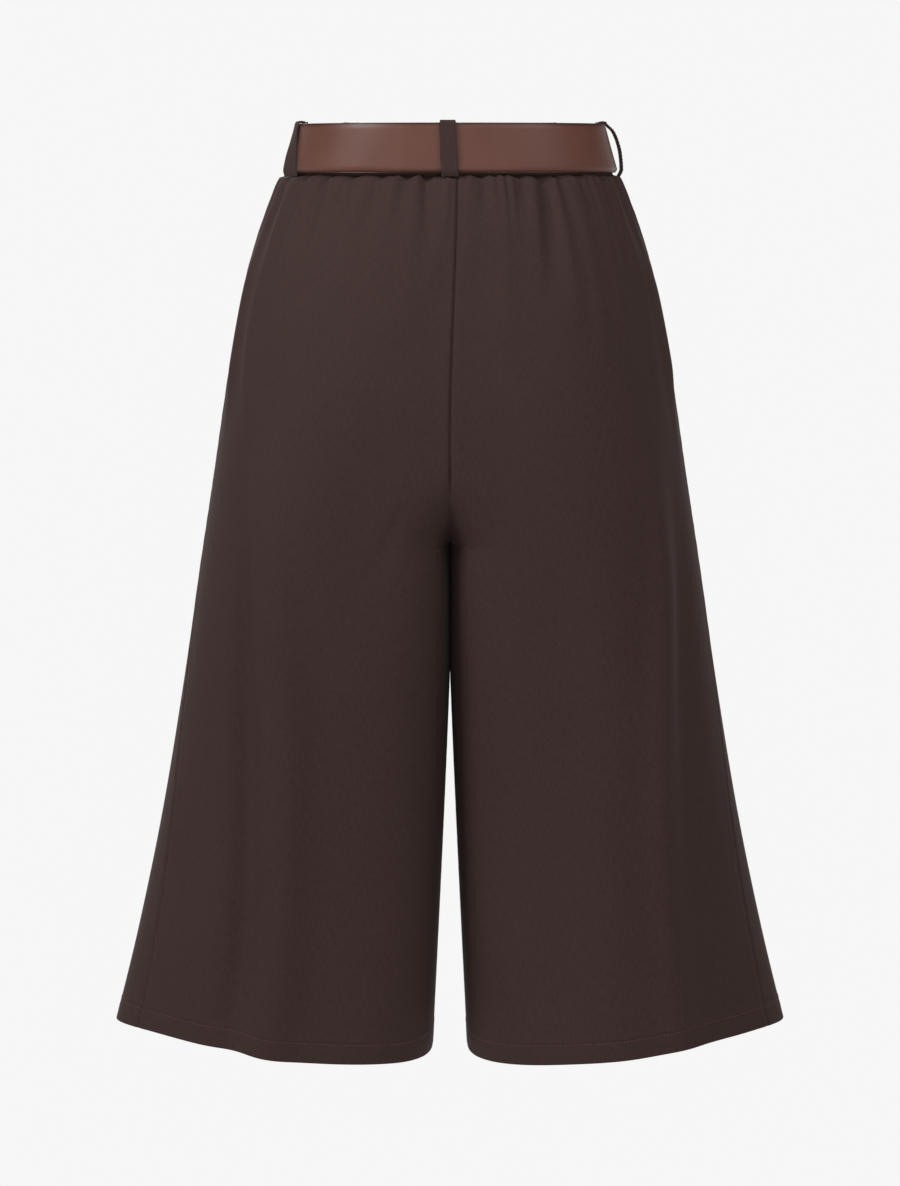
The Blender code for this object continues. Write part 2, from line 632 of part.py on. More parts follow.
def loop_route(belt, bow):
    """Over the waistband's and the belt's top edge, down outside the belt, to the waist seam."""
    top = BELT_MID_Z + BELT_WIDTH / 2 + SEAM_GAP + LOOP_CLOTH / 2
    near = BELT_OVER_BAND + belt + LOOP_CLOTH / 2 + LOOP_CLEAR
    route = [(-0.0018, top - 0.0007), (0.0, top - 0.0006), (0.0013, top), (near - 0.0014, top),
             (near - 0.0003, top - 0.0005)]
    fall_from = top - LOOP_SHOULDER
    for k in range(LOOP_STEPS + 1):
        t = k / LOOP_STEPS
        bulge = (bow - LOOP_CLEAR) * math.sin(math.pi * t ** 0.75) ** 0.7 if 0 < k < LOOP_STEPS else 0.0
        tuck = LOOP_TUCK if k == LOOP_STEPS else 0.0
        route.append((near + bulge - tuck, fall_from + (LOOP_END_Z - fall_from) * t))
    return route


def make_loops():
    for name, (place, belt, bow, lean, turn) in LOOPS.items():
        route = loop_route(belt, bow)
        tube(name, band_profile(place, route, LOOP_WIDTH, LOOP_CLOTH, False, lean, turn), SUITING)


def make_buckle_frame():
    """A plain rectangle with rounded corners, whose slim upper and lower bars clear the belt."""
    half_x, half_z = BUCKLE_HALF_WIDTH, BELT_WIDTH / 2 + SEAM_GAP + BUCKLE_TOP_BAR / 2
    path = []
    for sx, sz, start in ((1, 1, 0), (-1, 1, 1), (-1, -1, 2), (1, -1, 3)):
        for k in range(4):
            angle = math.pi / 2 * (start + k / 3)
            path.append((sx * (half_x - BUCKLE_BEND) + BUCKLE_BEND * math.cos(angle),
                         sz * (half_z - BUCKLE_BEND) + BUCKLE_BEND * math.sin(angle)))
    sections = []
    for k, (x, z) in enumerate(path):
        a, b = np.array(path[k - 1]), np.array(path[(k + 1) % len(path)])
        step = (b - a) / np.linalg.norm(b - a)
        side = np.array([step[1] * BUCKLE_SIDE_BAR, -step[0] * BUCKLE_TOP_BAR]) / 2
        section = []
        for s, d in BAR_SECTION:
            spot = np.array([x, z]) + s * side
            base = ring_point(front_place(half_x), BELT_MID_Z + spot[1], BUCKLE_OUT)
            section.append((spot[0], base[1] + d * BUCKLE_DEPTH / 2, BELT_MID_Z + spot[1]))
        sections.append(section)
    tube("buckle_frame", sections, METAL, closed=True)


def make_prong():
    """The prong leaves the side bar, humps over both layers of the belt and rests on the other bar."""
    half_x = BUCKLE_HALF_WIDTH
    bar = ring_point(front_place(half_x), BELT_MID_Z, BUCKLE_OUT)[1]
    toe = bar - BUCKLE_DEPTH / 2 - 0.0016
    run = ((half_x - 0.0034, bar + 0.0002), (half_x - 0.0066, bar - 0.0006), (0.0135, bar - 0.0034),
           (0.0085, bar - 0.0056), (0.0020, bar - 0.0066), (-0.0080, bar - 0.0052), (-0.0190, toe - 0.0004),
           (-0.0245, toe), (-0.0272, toe + 0.0006))
    sections = []
    for k, (x, y) in enumerate(run):
        a, b = np.array(run[max(k - 1, 0)]), np.array(run[min(k + 1, len(run) - 1)])
        step = (b - a) / np.linalg.norm(b - a)
        side = np.array([-step[1], step[0]]) * PRONG_THICKNESS / 2
        tall = PRONG_HALF_HEIGHT if k < len(run) - 1 else PRONG_HALF_HEIGHT * 0.6
        sections.append([(x + s * side[0], y + s * side[1], BELT_MID_Z + h * tall) for s, h in BAR_SECTION])
    tube("buckle_prong", sections, METAL)


def make_keeper():
    """A flat leather ring round both layers of the belt."""
    inner = KEEPER_CLEAR
    outer = BELT_OVER_BAND + BELT_LEATHER + TIP_LIFT[-1][1] + KEEPER_CLEAR
    tall = BELT_WIDTH / 2 + KEEPER_CLEAR
    corners = ((outer, tall), (inner, tall), (inner, -tall), (outer, -tall))
    route = [(out, BELT_MID_Z + z) for out, z in corners]
    place = front_place(KEEPER_PLACE)
    tube("belt_keeper", band_profile(place, route, KEEPER_WIDTH, KEEPER_WALL, True), LEATHER)


def cut_holes(strap):
    """The prong's slot and the belt's other punched holes."""
    for k in (-1, 0, 1, 2):
        x = FIRST_HOLE + k * HOLE_PITCH
        spot = ring_point(front_place(x), BELT_MID_Z, BELT_OVER_BAND + tip_lift(x) + BELT_LEATHER / 2)
        long, deep = (SLOT_LENGTH, SLOT_DEPTH) if k == 0 else (HOLE_SIZE, HOLE_DEPTH)
        form = bmesh.new()
        bmesh.ops.create_cone(form, cap_ends=True, segments=8, radius1=0.5, radius2=0.5, depth=1.0)
        bmesh.ops.scale(form, vec=(long, HOLE_SIZE, deep), verts=form.verts)
        along = ring_point(front_place(x + 0.001), 0, 0) - ring_point(front_place(x - 0.001), 0, 0)
        angle = math.atan2(along[1], along[0])
        bmesh.ops.rotate(form, matrix=Matrix.Rotation(math.pi / 2, 3, "X"), verts=form.verts)
        bmesh.ops.rotate(form, matrix=Matrix.Rotation(angle, 3, "Z"), verts=form.verts)
        bmesh.ops.translate(form, vec=spot, verts=form.verts)
        mesh = bpy.data.meshes.new(f"hole_{k}")
        form.to_mesh(mesh)
        form.free()
        cutter = link(f"hole_{k}", mesh, LEATHER)
        cutter.hide_render = True
        cutter.display_type = "WIRE"
        cut = strap.modifiers.new(f"hole_{k}", "BOOLEAN")
        cut.object = cutter
        cut.operation = "DIFFERENCE"


# ---- pockets ------------------------------------------------------------------------------------
BAG_TOP_Z = -0.068
BAG_DROP = 0.215
BAG_CLEAR = 0.0009            # from the front panel's inner face
BAG_THICKNESS = 0.0016
BAG_FROM = 0.955              # place w at which the bag starts, just behind the side seam
BAG_STEPS = 8


def make_pocket_bags():
    """A flat bag behind each side-seam mouth, lying inside the front panel."""
    for side in ("left", "right"):
        outer, inner = [], []
        for k in range(BAG_STEPS + 1):
            t = k / BAG_STEPS
            z = BAG_TOP_Z - BAG_DROP * t
            reach = 0.20 + 0.28 * math.sin(math.pi * (0.12 + 0.76 * t))
            outer_row, inner_row = [], []
            for j in range(BAG_STEPS + 1):
                w = BAG_FROM + reach * j / BAG_STEPS
                point = surface(w, z, side)
                normal = surface_normal(w, z, side)
                outer_row.append(point - (CLOTH + BAG_CLEAR) * normal)
                inner_row.append(point - (CLOTH + BAG_CLEAR + BAG_THICKNESS) * normal)
            outer.append(outer_row)
            inner.append(inner_row)
        wall(f"pocket_bag_{side}", np.array(outer), np.array(inner), SUITING)


def main():
    clear_scene()
    make_panels()
    make_waistband()
    cut_holes(make_belt())
    make_loops()
    make_buckle_frame()
    make_prong()
    make_keeper()
    make_pocket_bags()


main()
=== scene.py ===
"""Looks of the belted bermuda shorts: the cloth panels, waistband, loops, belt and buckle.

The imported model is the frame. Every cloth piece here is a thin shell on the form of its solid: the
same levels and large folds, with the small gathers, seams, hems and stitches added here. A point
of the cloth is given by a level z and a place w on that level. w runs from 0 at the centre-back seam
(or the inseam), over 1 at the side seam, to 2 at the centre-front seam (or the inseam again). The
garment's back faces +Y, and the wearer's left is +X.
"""
import logging
import math
from dataclasses import dataclass, field
from enum import Enum
from typing import Callable, Optional, Sequence
import bmesh
import bpy
import numpy as np
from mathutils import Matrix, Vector


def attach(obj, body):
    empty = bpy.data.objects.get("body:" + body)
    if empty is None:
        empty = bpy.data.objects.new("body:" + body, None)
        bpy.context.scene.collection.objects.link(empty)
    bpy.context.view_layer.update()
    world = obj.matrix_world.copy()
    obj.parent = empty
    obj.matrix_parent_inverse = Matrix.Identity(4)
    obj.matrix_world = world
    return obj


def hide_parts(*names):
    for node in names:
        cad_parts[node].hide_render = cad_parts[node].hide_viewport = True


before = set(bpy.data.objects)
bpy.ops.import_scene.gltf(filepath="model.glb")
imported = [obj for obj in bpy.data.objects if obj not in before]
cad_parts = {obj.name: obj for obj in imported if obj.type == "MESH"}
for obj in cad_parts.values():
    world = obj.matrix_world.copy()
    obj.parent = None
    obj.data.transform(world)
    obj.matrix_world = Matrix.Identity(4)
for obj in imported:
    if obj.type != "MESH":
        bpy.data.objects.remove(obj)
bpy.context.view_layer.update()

LOG = logging.getLogger("bermuda_shorts")
Array = np.ndarray
Colour = tuple[float, float, float]

# ---- driving sizes, in metres, as the solids have them -----------------------------
SEAM_GAP = 0.0003
MEETING = -0.00030            # how far the cloth of each half crosses the middle plane
CLOTH = 0.0013
HEM_CLOTH = 0.0026
HEM_DEPTH = 0.020
HEM_RISE = 0.021
WAIST_SEAM_Z = -0.0200
WAISTBAND_TOP_Z = 0.0178
WAIST_SHIFT = -0.0026
TOP_SHIFT = -0.0007
RING_TOP_Z = 0.0200
SHIFT_END_Z = -0.0214
SEAM_LEAN = -0.0053
LEAN_END_Z = -0.210
LEAN_REACH = 0.12
HIP_Z = -0.195
CROTCH_Z = -0.292
CROTCH_Y = -0.004
INNER_HEM_Z = -0.6845
CROTCH_CURVE = 1.3
HEM_HALF_GAP = 0.0138
TOUCH_Z = -0.376
POCKET_TOP_Z = -0.085
POCKET_LOW_Z = -0.235
POCKET_OPEN = 0.0028
WAISTBAND_CLOTH = 0.0026
BELT_WIDTH = 0.0364
BELT_MID_Z = 0.0004
BELT_LEATHER = 0.0026
BELT_OVER_BAND = 0.0016
LOOP_WIDTH = 0.0128
LOOP_CLOTH = 0.0016
TIP_LAYER = 0.0031             # how far the belt's free end lies outside the strap under it
BAND_WAVES = 22


class Side(Enum):
    """The wearer's left or right half of the garment."""

    LEFT = "left"
    RIGHT = "right"


class Part(Enum):
    """The back or the front panel of one half."""

    BACK = "back"
    FRONT = "front"


class Held(Enum):
    """How a sheet of cloth is held, in the frame's words."""

    HUNG = "hung"
    GATHERED = "gathered"
    FOLDED = "folded"


# ---- the garment's surface, one row for each level ---------------------------------
LEVEL_COLUMNS = ("z", "half_width", "back_depth", "front_depth", "back_crest", "front_crest", "corner",
                 "edge")
LEVELS = (
    (0.0200, 0.1109, 0.0900, 0.0880, 0.004, 0.004, 5.0, 2.15),
    (-0.0200, 0.1202, 0.0935, 0.0905, 0.004, 0.004, 5.0, 2.15),
    (-0.0210, 0.1275, 0.0960, 0.0915, 0.004, 0.004, 5.0, 2.15),
    (-0.0232, 0.1291, 0.0982, 0.0927, 0.005, 0.005, 5.0, 2.15),
    (-0.0275, 0.1312, 0.1000, 0.0938, 0.006, 0.006, 5.0, 2.15),
    (-0.0427, 0.1371, 0.1046, 0.0962, 0.010, 0.010, 5.0, 2.15),
    (-0.0608, 0.1436, 0.1088, 0.0985, 0.015, 0.014, 5.0, 2.15),
    (-0.0968, 0.1540, 0.1150, 0.1020, 0.025, 0.022, 5.0, 2.15),
    (-0.1330, 0.1614, 0.1195, 0.1045, 0.036, 0.032, 5.0, 2.15),
    (-0.1875, 0.1703, 0.1225, 0.1060, 0.052, 0.048, 5.0, 2.15),
    (-0.2421, 0.1783, 0.1210, 0.1050, 0.070, 0.066, 5.0, 2.15),
    (-0.3050, 0.1881, 0.1170, 0.1020, 0.088, 0.086, 5.0, 2.15),
    (-0.4073, 0.2036, 0.1100, 0.0970, 0.102, 0.102, 3.8, 2.05),
    (-0.4999, 0.2195, 0.1045, 0.0930, 0.110, 0.112, 3.3, 1.95),
    (-0.5932, 0.2392, 0.0995, 0.0895, 0.118, 0.122, 3.1, 1.85),
    (-0.6640, 0.2566, 0.0955, 0.0870, 0.124, 0.130, 3.0, 1.75),
    (-0.6900, 0.2630, 0.0940, 0.0860, 0.126, 0.132, 2.9, 1.75),
)
# how far past the widest place, towards the back, the side seam lies: all the way down, and what the
# hem adds to it from SEAM_TURN_Z over SEAM_TURN_SPAN
SEAM_TURN_TOP = 0.06
SEAM_TURN = {Side.LEFT: 0.42, Side.RIGHT: 0.34}
SEAM_TURN_Z = -0.20
SEAM_TURN_SPAN = 0.40

# ---- folds: w_top, w_low, z_top, z_low, size_top, size_low, height -----------------
# gathers hang from the waist seam; drapes start and end on the cloth
GATHERS = {
    Side.LEFT: (
        (0.125, 0.10, -0.020, -0.085, 0.0040, 0.0085, -0.0046),
        (0.22, 0.20, -0.020, -0.070, 0.0038, 0.0080, -0.0026),
        (0.33, 0.33, -0.020, -0.085, 0.0040, 0.0100, -0.0024),
        (0.46, 0.47, -0.020, -0.075, 0.0036, 0.0080, -0.0030),
        (0.57, 0.58, -0.020, -0.095, 0.0036, 0.0100, -0.0032),
        (0.70, 0.69, -0.020, -0.120, 0.0045, 0.0120, -0.0040),
        (0.83, 0.80, -0.020, -0.105, 0.0040, 0.0110, -0.0036),
        (0.94, 0.93, -0.020, -0.085, 0.0036, 0.0090, -0.0030),
    ),
    Side.RIGHT: (
        (0.11, 0.12, -0.020, -0.065, 0.0036, 0.0080, -0.0026),
        (0.28, 0.27, -0.020, -0.062, 0.0034, 0.0070, -0.0032),
        (0.38, 0.32, -0.020, -0.135, 0.0056, 0.0110, -0.0050),
        (0.46, 0.47, -0.020, -0.070, 0.0032, 0.0070, -0.0026),
        (0.58, 0.58, -0.020, -0.060, 0.0040, 0.0080, -0.0020),
        (0.73, 0.69, -0.020, -0.130, 0.0045, 0.0120, -0.0044),
        (0.85, 0.83, -0.020, -0.100, 0.0038, 0.0100, -0.0036),
        (0.94, 0.92, -0.020, -0.080, 0.0036, 0.0090, -0.0030),
    ),
}
DRAPES = {
    Side.LEFT: (
        (0.86, 0.87, -0.060, -0.200, 0.0110, 0.0150, 0.0020),
        (0.54, 0.50, -0.160, -0.800, 0.0140, 0.0240, 0.0076),
        (0.67, 0.62, -0.150, -0.780, 0.0115, 0.0180, -0.0092),
        (0.22, 0.22, -0.330, -0.760, 0.0280, 0.0380, -0.0030),
        (1.30, 1.34, -0.250, -0.760, 0.0280, 0.0360, -0.0040),
        (1.55, 1.52, -0.280, -0.800, 0.0240, 0.0340, 0.0060),
        (1.78, 1.76, -0.320, -0.780, 0.0240, 0.0300, -0.0035),
    ),
    Side.RIGHT: (
        (0.83, 0.86, -0.060, -0.200, 0.0110, 0.0150, 0.0035),
        (0.67, 0.66, -0.170, -0.760, 0.0110, 0.0180, 0.0055),
        (0.77, 0.76, -0.200, -0.720, 0.0120, 0.0200, -0.0050),
        (0.45, 0.44, -0.330, -0.780, 0.0300, 0.0420, 0.0035),
        (0.32, 0.30, -0.360, -0.760, 0.0260, 0.0360, -0.0030),
        (1.28, 1.32, -0.270, -0.760, 0.0260, 0.0360, -0.0040),
        (1.50, 1.48, -0.260, -0.800, 0.0260, 0.0340, 0.0055),
        (1.74, 1.73, -0.320, -0.780, 0.0240, 0.0300, -0.0035),
    ),
}
# smaller creases that the solids leave out, in the drapes' columns
CREASES = {
    Side.LEFT: (
        (0.80, 0.56, -0.075, -0.330, 0.0080, 0.0150, 0.0024),
        (0.04, 0.10, -0.030, -0.120, 0.0040, 0.0080, 0.0009),
        (0.16, 0.15, -0.018, -0.150, 0.0050, 0.0100, 0.0010),
        (0.39, 0.40, -0.018, -0.130, 0.0050, 0.0110, 0.0011),
        (0.52, 0.53, -0.018, -0.105, 0.0040, 0.0080, 0.0009),
        (0.64, 0.64, -0.018, -0.170, 0.0048, 0.0100, 0.0013),
        (0.76, 0.74, -0.018, -0.190, 0.0048, 0.0090, 0.0012),
        (0.88, 0.86, -0.018, -0.230, 0.0040, 0.0080, 0.0012),
        (1.12, 1.16, -0.030, -0.160, 0.0060, 0.0110, 0.0010),
        (1.42, 1.44, -0.030, -0.210, 0.0080, 0.0150, 0.0009),
        (1.70, 1.74, -0.060, -0.260, 0.0080, 0.0150, 0.0010),
        (0.12, 0.26, -0.250, -0.330, 0.0050, 0.0090, -0.0008),
        (1.90, 1.74, -0.250, -0.340, 0.0050, 0.0090, -0.0010),
    ),
    Side.RIGHT: (
        (0.06, 0.05, -0.018, -0.100, 0.0040, 0.0080, 0.0009),
        (0.18, 0.19, -0.018, -0.160, 0.0050, 0.0110, 0.0011),
        (0.32, 0.31, -0.018, -0.110, 0.0036, 0.0080, 0.0012),
        (0.42, 0.43, -0.018, -0.140, 0.0034, 0.0080, 0.0013),
        (0.52, 0.52, -0.018, -0.180, 0.0050, 0.0110, 0.0011),
        (0.64, 0.62, -0.018, -0.150, 0.0048, 0.0100, 0.0010),
        (0.77, 0.75, -0.018, -0.210, 0.0048, 0.0090, 0.0013),
        (0.89, 0.86, -0.018, -0.260, 0.0040, 0.0090, 0.0013),
        (1.14, 1.17, -0.030, -0.150, 0.0060, 0.0110, 0.0010),
        (1.38, 1.41, -0.030, -0.190, 0.0080, 0.0150, 0.0009),
        (1.68, 1.72, -0.060, -0.250, 0.0080, 0.0150, 0.0010),
        (0.10, 0.22, -0.240, -0.320, 0.0050, 0.0090, -0.0008),
        (1.91, 1.76, -0.240, -0.330, 0.0050, 0.0090, -0.0010),
    ),
}


# ---- small arithmetic --------------------------------------------------------------
def smoothstep(t: Array | float) -> Array:
    """Return 0 below 0, 1 above 1 and an eased rise between."""
    t = np.clip(t, 0.0, 1.0)
    return t * t * (3.0 - 2.0 * t)


def bell(distance: Array | float, half_width: float) -> Array:
    """Return a bell curve of height 1 that falls off over half_width."""
    return np.exp(-(distance / half_width) ** 2)


def level_value(column: str, z: Array | float) -> Array:
    """Read one column of LEVELS at height z along a smooth curve without overshoot.

    Args:
        column: a name of LEVEL_COLUMNS.
        z: heights in metres.

    Returns:
        The column's value at each height.
    """
    at = np.array([row[0] for row in LEVELS])[::-1]
    value = np.array([row[LEVEL_COLUMNS.index(column)] for row in LEVELS])[::-1]
    step = np.diff(at)
    slope = np.diff(value) / step
    tangent = np.empty_like(value)
    tangent[0] = slope[0]
    tangent[-1] = slope[-1]
    same_way = slope[1:] * slope[:-1] > 0
    mean = 2 * slope[1:] * slope[:-1] / np.where(same_way, slope[1:] + slope[:-1], 1.0)
    tangent[1:-1] = np.where(same_way, mean, 0.0)
    z = np.clip(z, at[0], at[-1])
    i = np.clip(np.searchsorted(at, z) - 1, 0, len(step) - 1)
    t = (z - at[i]) / step[i]
    rise = value[i + 1] - value[i]
    start, end = tangent[i] * step[i], tangent[i + 1] * step[i]
    return value[i] + t * (start + t * (3 * rise - 2 * start - end + t * (start + end - 2 * rise)))


def corner(start: float, end: float, exponent: float, steps: int) -> tuple[Array, Array]:
    """Return directions times radii of a superellipse arc from the angle start to the angle end."""
    angle = start + (end - start) * np.linspace(0.0, 1.0, steps)
    across, along = np.abs(np.cos(angle)), np.abs(np.sin(angle))
    radius = (across ** exponent + along ** exponent) ** (-1.0 / exponent)
    return radius * np.cos(angle), radius * np.sin(angle)


def run_along(points: Array) -> Array:
    """Return the length along a line of points up to each of them."""
    steps = np.linalg.norm(np.diff(points, axis=0), axis=1)
    return np.concatenate([[0.0], np.cumsum(steps)])


def read_line(at: Array, run: Array, points: Array) -> Array:
    """Return the points at the lengths at of a line whose points lie at the lengths run."""
    return np.column_stack([np.interp(at, run, points[:, k]) for k in range(points.shape[1])])


def lengths_along(grid: Array, axis: int) -> Array:
    """Return the length up to each point of a grid, along its rows (axis 1) or columns (axis 0)."""
    steps = np.linalg.norm(np.diff(grid, axis=axis), axis=2)
    start = np.zeros_like(np.take(steps, [0], axis=axis))
    return np.concatenate([start, np.cumsum(steps, axis=axis)], axis=axis)


def uneven_wave(run: Array, wave: float, sway: float, long_wave: float, turn: float = 0.0) -> Array:
    """Return a sine over the length run whose wave a longer one draws out and closes up."""
    return np.sin(run / wave + sway * np.sin(run / long_wave + turn))


def unit(vectors: Array) -> Array:
    """Return the vectors at length 1."""
    length = np.linalg.norm(vectors, axis=-1, keepdims=True)
    return vectors / np.maximum(length, 1e-12)


# ---- the surface of one half -------------------------------------------------------
@dataclass(frozen=True)
class Puckers:
    """The fine gathers that the elastic makes right below the back of the waist seam."""

    side: Side
    height: float = 0.0009
    waves: float = 17.0
    right_turn: float = 1.9
    # wave numbers without a common rhythm, for the drift (two), the strength and the reach
    rhythms: tuple[float, float, float, float] = (19.0, 43.0, 13.0, 29.0)
    drifts: tuple[float, float] = (0.014, 0.009)
    strength: tuple[float, float] = (0.55, 0.45)
    reach: tuple[float, float] = (0.018, 0.014)
    least_reach: float = 0.006
    back_end: float = 1.04
    back_fade: float = 0.06

    def heights(self, place: Array, z: Array) -> Array:
        """Work out how far the puckers move the surface.

        Args:
            place: places along the part, from 0 at the centre seam.
            z: heights, in metres.

        Returns:
            Distances outwards, in metres.
        """
        turn = 0.0 if self.side is Side.LEFT else self.right_turn
        slow, quick, strong, long = (rhythm * place for rhythm in self.rhythms)
        drift = self.drifts[0] * np.sin(slow + turn) + self.drifts[1] * np.sin(quick + 2.0 * turn)
        wave = np.cos(2.0 * math.pi * self.waves * (place + drift))
        strength = self.strength[0] + self.strength[1] * np.sin(strong + 3.0 * turn)
        reach = self.reach[0] + self.reach[1] * np.sin(long + turn)
        depth = (WAIST_SEAM_Z - z) / np.maximum(reach, self.least_reach)
        on_back = smoothstep((self.back_end - place) / self.back_fade)
        return self.height * wave * strength * on_back * np.exp(-np.maximum(depth, 0.0) ** 2)


class HalfShape:
    """The outside of one half of the garment, worked out for whole arrays of places at once."""

    PLACES = 1201
    ARC_STEPS = 120
    CLOSURE_STEPS = 90
    # lowest, highest and step of the table's heights: all over, and round the waist seam
    ALL_HEIGHTS = (-0.700, 0.0210, 0.0010)
    WAIST_HEIGHTS = (-0.034, -0.0170, 0.0002)
    LEG_GAP_CURVE = 1.15
    LEAST_CLOSURE = 0.02
    # how strongly columns bunch at the inner leg: everywhere, and what the crotch adds over its reach
    INNER_POWER = 3.0
    CROTCH_POWER = 9.0
    CROTCH_REACH = 0.030
    # shares of a drape over which it rises and dies away
    DRAPE_RISE = 0.35
    DRAPE_FALL = 0.30
    # how near a seam the folds are still: at the waist, and what the leg adds below the hip
    STILL_TOP = 0.006
    STILL_LEG = 0.030
    STILL_SPAN = 0.06

    def __init__(self, side: Side) -> None:
        """Tabulate the outlines of every level of this half.

        Args:
            side: which half of the garment.
        """
        self.side = side
        self.puckers = Puckers(side)
        self.heights = self._table_heights()
        rows = [self._level(float(z)) for z in self.heights]
        self.outlines = [np.array([row[part][0] for row in rows]) for part in (0, 1)]
        self.lengths = [np.array([row[part][1] for row in rows]) for part in (0, 1)]
        self.plains = [np.array([row[part][2] for row in rows]) for part in (0, 1)]

    @classmethod
    def _table_heights(cls) -> Array:
        """Choose the table's heights, close together at the waist seam and round the crotch.

        Returns:
            Heights in metres, from the lowest up.
        """
        bend = float(level_value("corner", CROTCH_Z))
        closures, _ = corner(math.pi / 2, 0.0, bend, cls.CLOSURE_STEPS)
        above = np.clip(1.0 - closures, 0.0, 1.0) ** (1.0 / CROTCH_CURVE)
        return np.unique(np.round(np.concatenate([
            np.arange(*cls.ALL_HEIGHTS),
            np.arange(*cls.WAIST_HEIGHTS),
            CROTCH_Z + (HIP_Z - CROTCH_Z) * above,
            CROTCH_Z + (HIP_Z - CROTCH_Z) * np.linspace(0.0, 0.06, 40) ** 2,
        ]), 7))

    def _level(self, z: float) -> tuple:
        """Draw one level.

        Args:
            z: its height, in metres.

        Returns:
            Outline, length and plain length of the back part, and the same of the front part.
        """
        width, back, front, back_crest, front_crest, bend, edge = (
            float(level_value(c, z)) for c in LEVEL_COLUMNS[1:])
        leg = np.clip((TOUCH_Z - z) / (TOUCH_Z - INNER_HEM_Z), 0.0, 1.2)
        inner_x = MEETING + HEM_HALF_GAP * leg ** self.LEG_GAP_CURVE
        above = float(np.clip((z - CROTCH_Z) / (HIP_Z - CROTCH_Z), 0.0, 1.0))
        closure = max(1.0 - above ** CROTCH_CURVE, self.LEAST_CLOSURE)
        opening = (1.0 - closure ** bend) ** (1.0 / bend)
        first = math.atan2(opening, closure)
        lower = float(smoothstep((SEAM_TURN_Z - z) / SEAM_TURN_SPAN))
        turn = SEAM_TURN[self.side] * lower + SEAM_TURN_TOP
        quarter = math.pi / 2
        steps = self.ARC_STEPS
        inner_back = corner(first, quarter, bend, steps)
        outer_back = corner(quarter, turn, edge, steps)
        side_back = corner(turn, 0.0, edge, steps // 3)
        outer_front = corner(0.0, quarter, edge, steps)
        inner_front = corner(quarter, first, bend, steps)

        def outline(crest: float, depth: float, origin: float, sign: int, arc: tuple,
                    inner: bool = False) -> Array:
            """Return one arc of the level as points (x, y)."""
            reach = (crest - inner_x) / closure if inner else width - crest
            x = crest - reach * arc[0] if inner else crest + reach * arc[0]
            return np.column_stack([x, origin + sign * (depth - sign * origin) * arc[1]])

        crotch_back, crotch_front = CROTCH_Y + SEAM_GAP / 2, CROTCH_Y - SEAM_GAP / 2
        back_outer = outline(back_crest, back, 0.0, 1, outer_back)
        front_outer = np.vstack([
            outline(back_crest, back, 0.0, 1, side_back),
            outline(front_crest, front, 0.0, -1, outer_front)[1:],
        ])
        back_inner = outline(back_crest, back, crotch_back, 1, inner_back, True)
        front_inner = outline(front_crest, front, crotch_front, -1, inner_front, True)
        back_part = np.vstack([back_inner, back_outer[1:]])
        front_part = np.vstack([front_outer, front_inner[1:]])
        plains = (run_along(back_outer)[-1] + back_crest - inner_x,
                  run_along(front_outer)[-1] + front_crest - inner_x)
        result = []
        for points, plain in zip((back_part, front_part), plains):
            run = run_along(points)
            at = np.linspace(0.0, run[-1], self.PLACES)
            result.append((read_line(at, run, points), run[-1], plain))
        return tuple(result)

    def _between(self, z: Array) -> tuple[Array, Array]:
        """Return the row of the table under each height, and how far it is to the next."""
        i = np.clip(np.searchsorted(self.heights, z) - 1, 0, len(self.heights) - 2)
        t = (z - self.heights[i]) / (self.heights[i + 1] - self.heights[i])
        return i, np.clip(t, 0.0, 1.0)

    def _by_part(self, tables: list, w: Array, z: Array) -> Array:
        """Read a number that each part has at each height."""
        i, t = self._between(z)
        back = tables[0][i] * (1 - t) + tables[0][i + 1] * t
        front = tables[1][i] * (1 - t) + tables[1][i + 1] * t
        return np.where(w <= 1.0, back, front)

    def length(self, w: Array, z: Array) -> Array:
        """Return the length of the part that w lies on, at height z."""
        return self._by_part(self.lengths, w, z)

    def plain(self, w: Array, z: Array) -> Array:
        """Return that length without the inner side of the leg."""
        return self._by_part(self.plains, w, z)

    def column_place(self, t: Array, z: Array) -> Array:
        """Spread a panel's columns so that the inner leg takes up only those beside it.

        Args:
            t: columns, from 0 to 2 as places are.
            z: heights, in metres.

        Returns:
            The places w of the columns.
        """
        run, plain = self.length(t, z), self.plain(t, z)
        away = np.abs(t - 1.0)
        power = self.INNER_POWER + self.CROTCH_POWER * bell(z - CROTCH_Z, self.CROTCH_REACH)
        at = (plain * away + (run - plain) * away ** power) / run
        return 1.0 + np.sign(t - 1.0) * at

    def base(self, w: Array, z: Array) -> Array:
        """Read the surface without folds, on the left half's side of the garment.

        Args:
            w: places on the levels, from 0 to 2.
            z: heights, in metres.

        Returns:
            Points, with one more axis of length 3.
        """
        i, t = self._between(z)
        at = np.clip(np.where(w <= 1.0, w, w - 1.0), 0.0, 1.0) * (self.PLACES - 1)
        j = np.minimum(at.astype(int), self.PLACES - 2)
        s = (at - j)[..., None]
        t = t[..., None]
        spots = []
        for table in self.outlines:
            low = table[i, j] * (1 - s) + table[i, j + 1] * s
            high = table[i + 1, j] * (1 - s) + table[i + 1, j + 1] * s
            spots.append(low * (1 - t) + high * t)
        flat = np.where((w <= 1.0)[..., None], spots[0], spots[1])
        return np.concatenate([flat, z[..., None]], axis=-1)

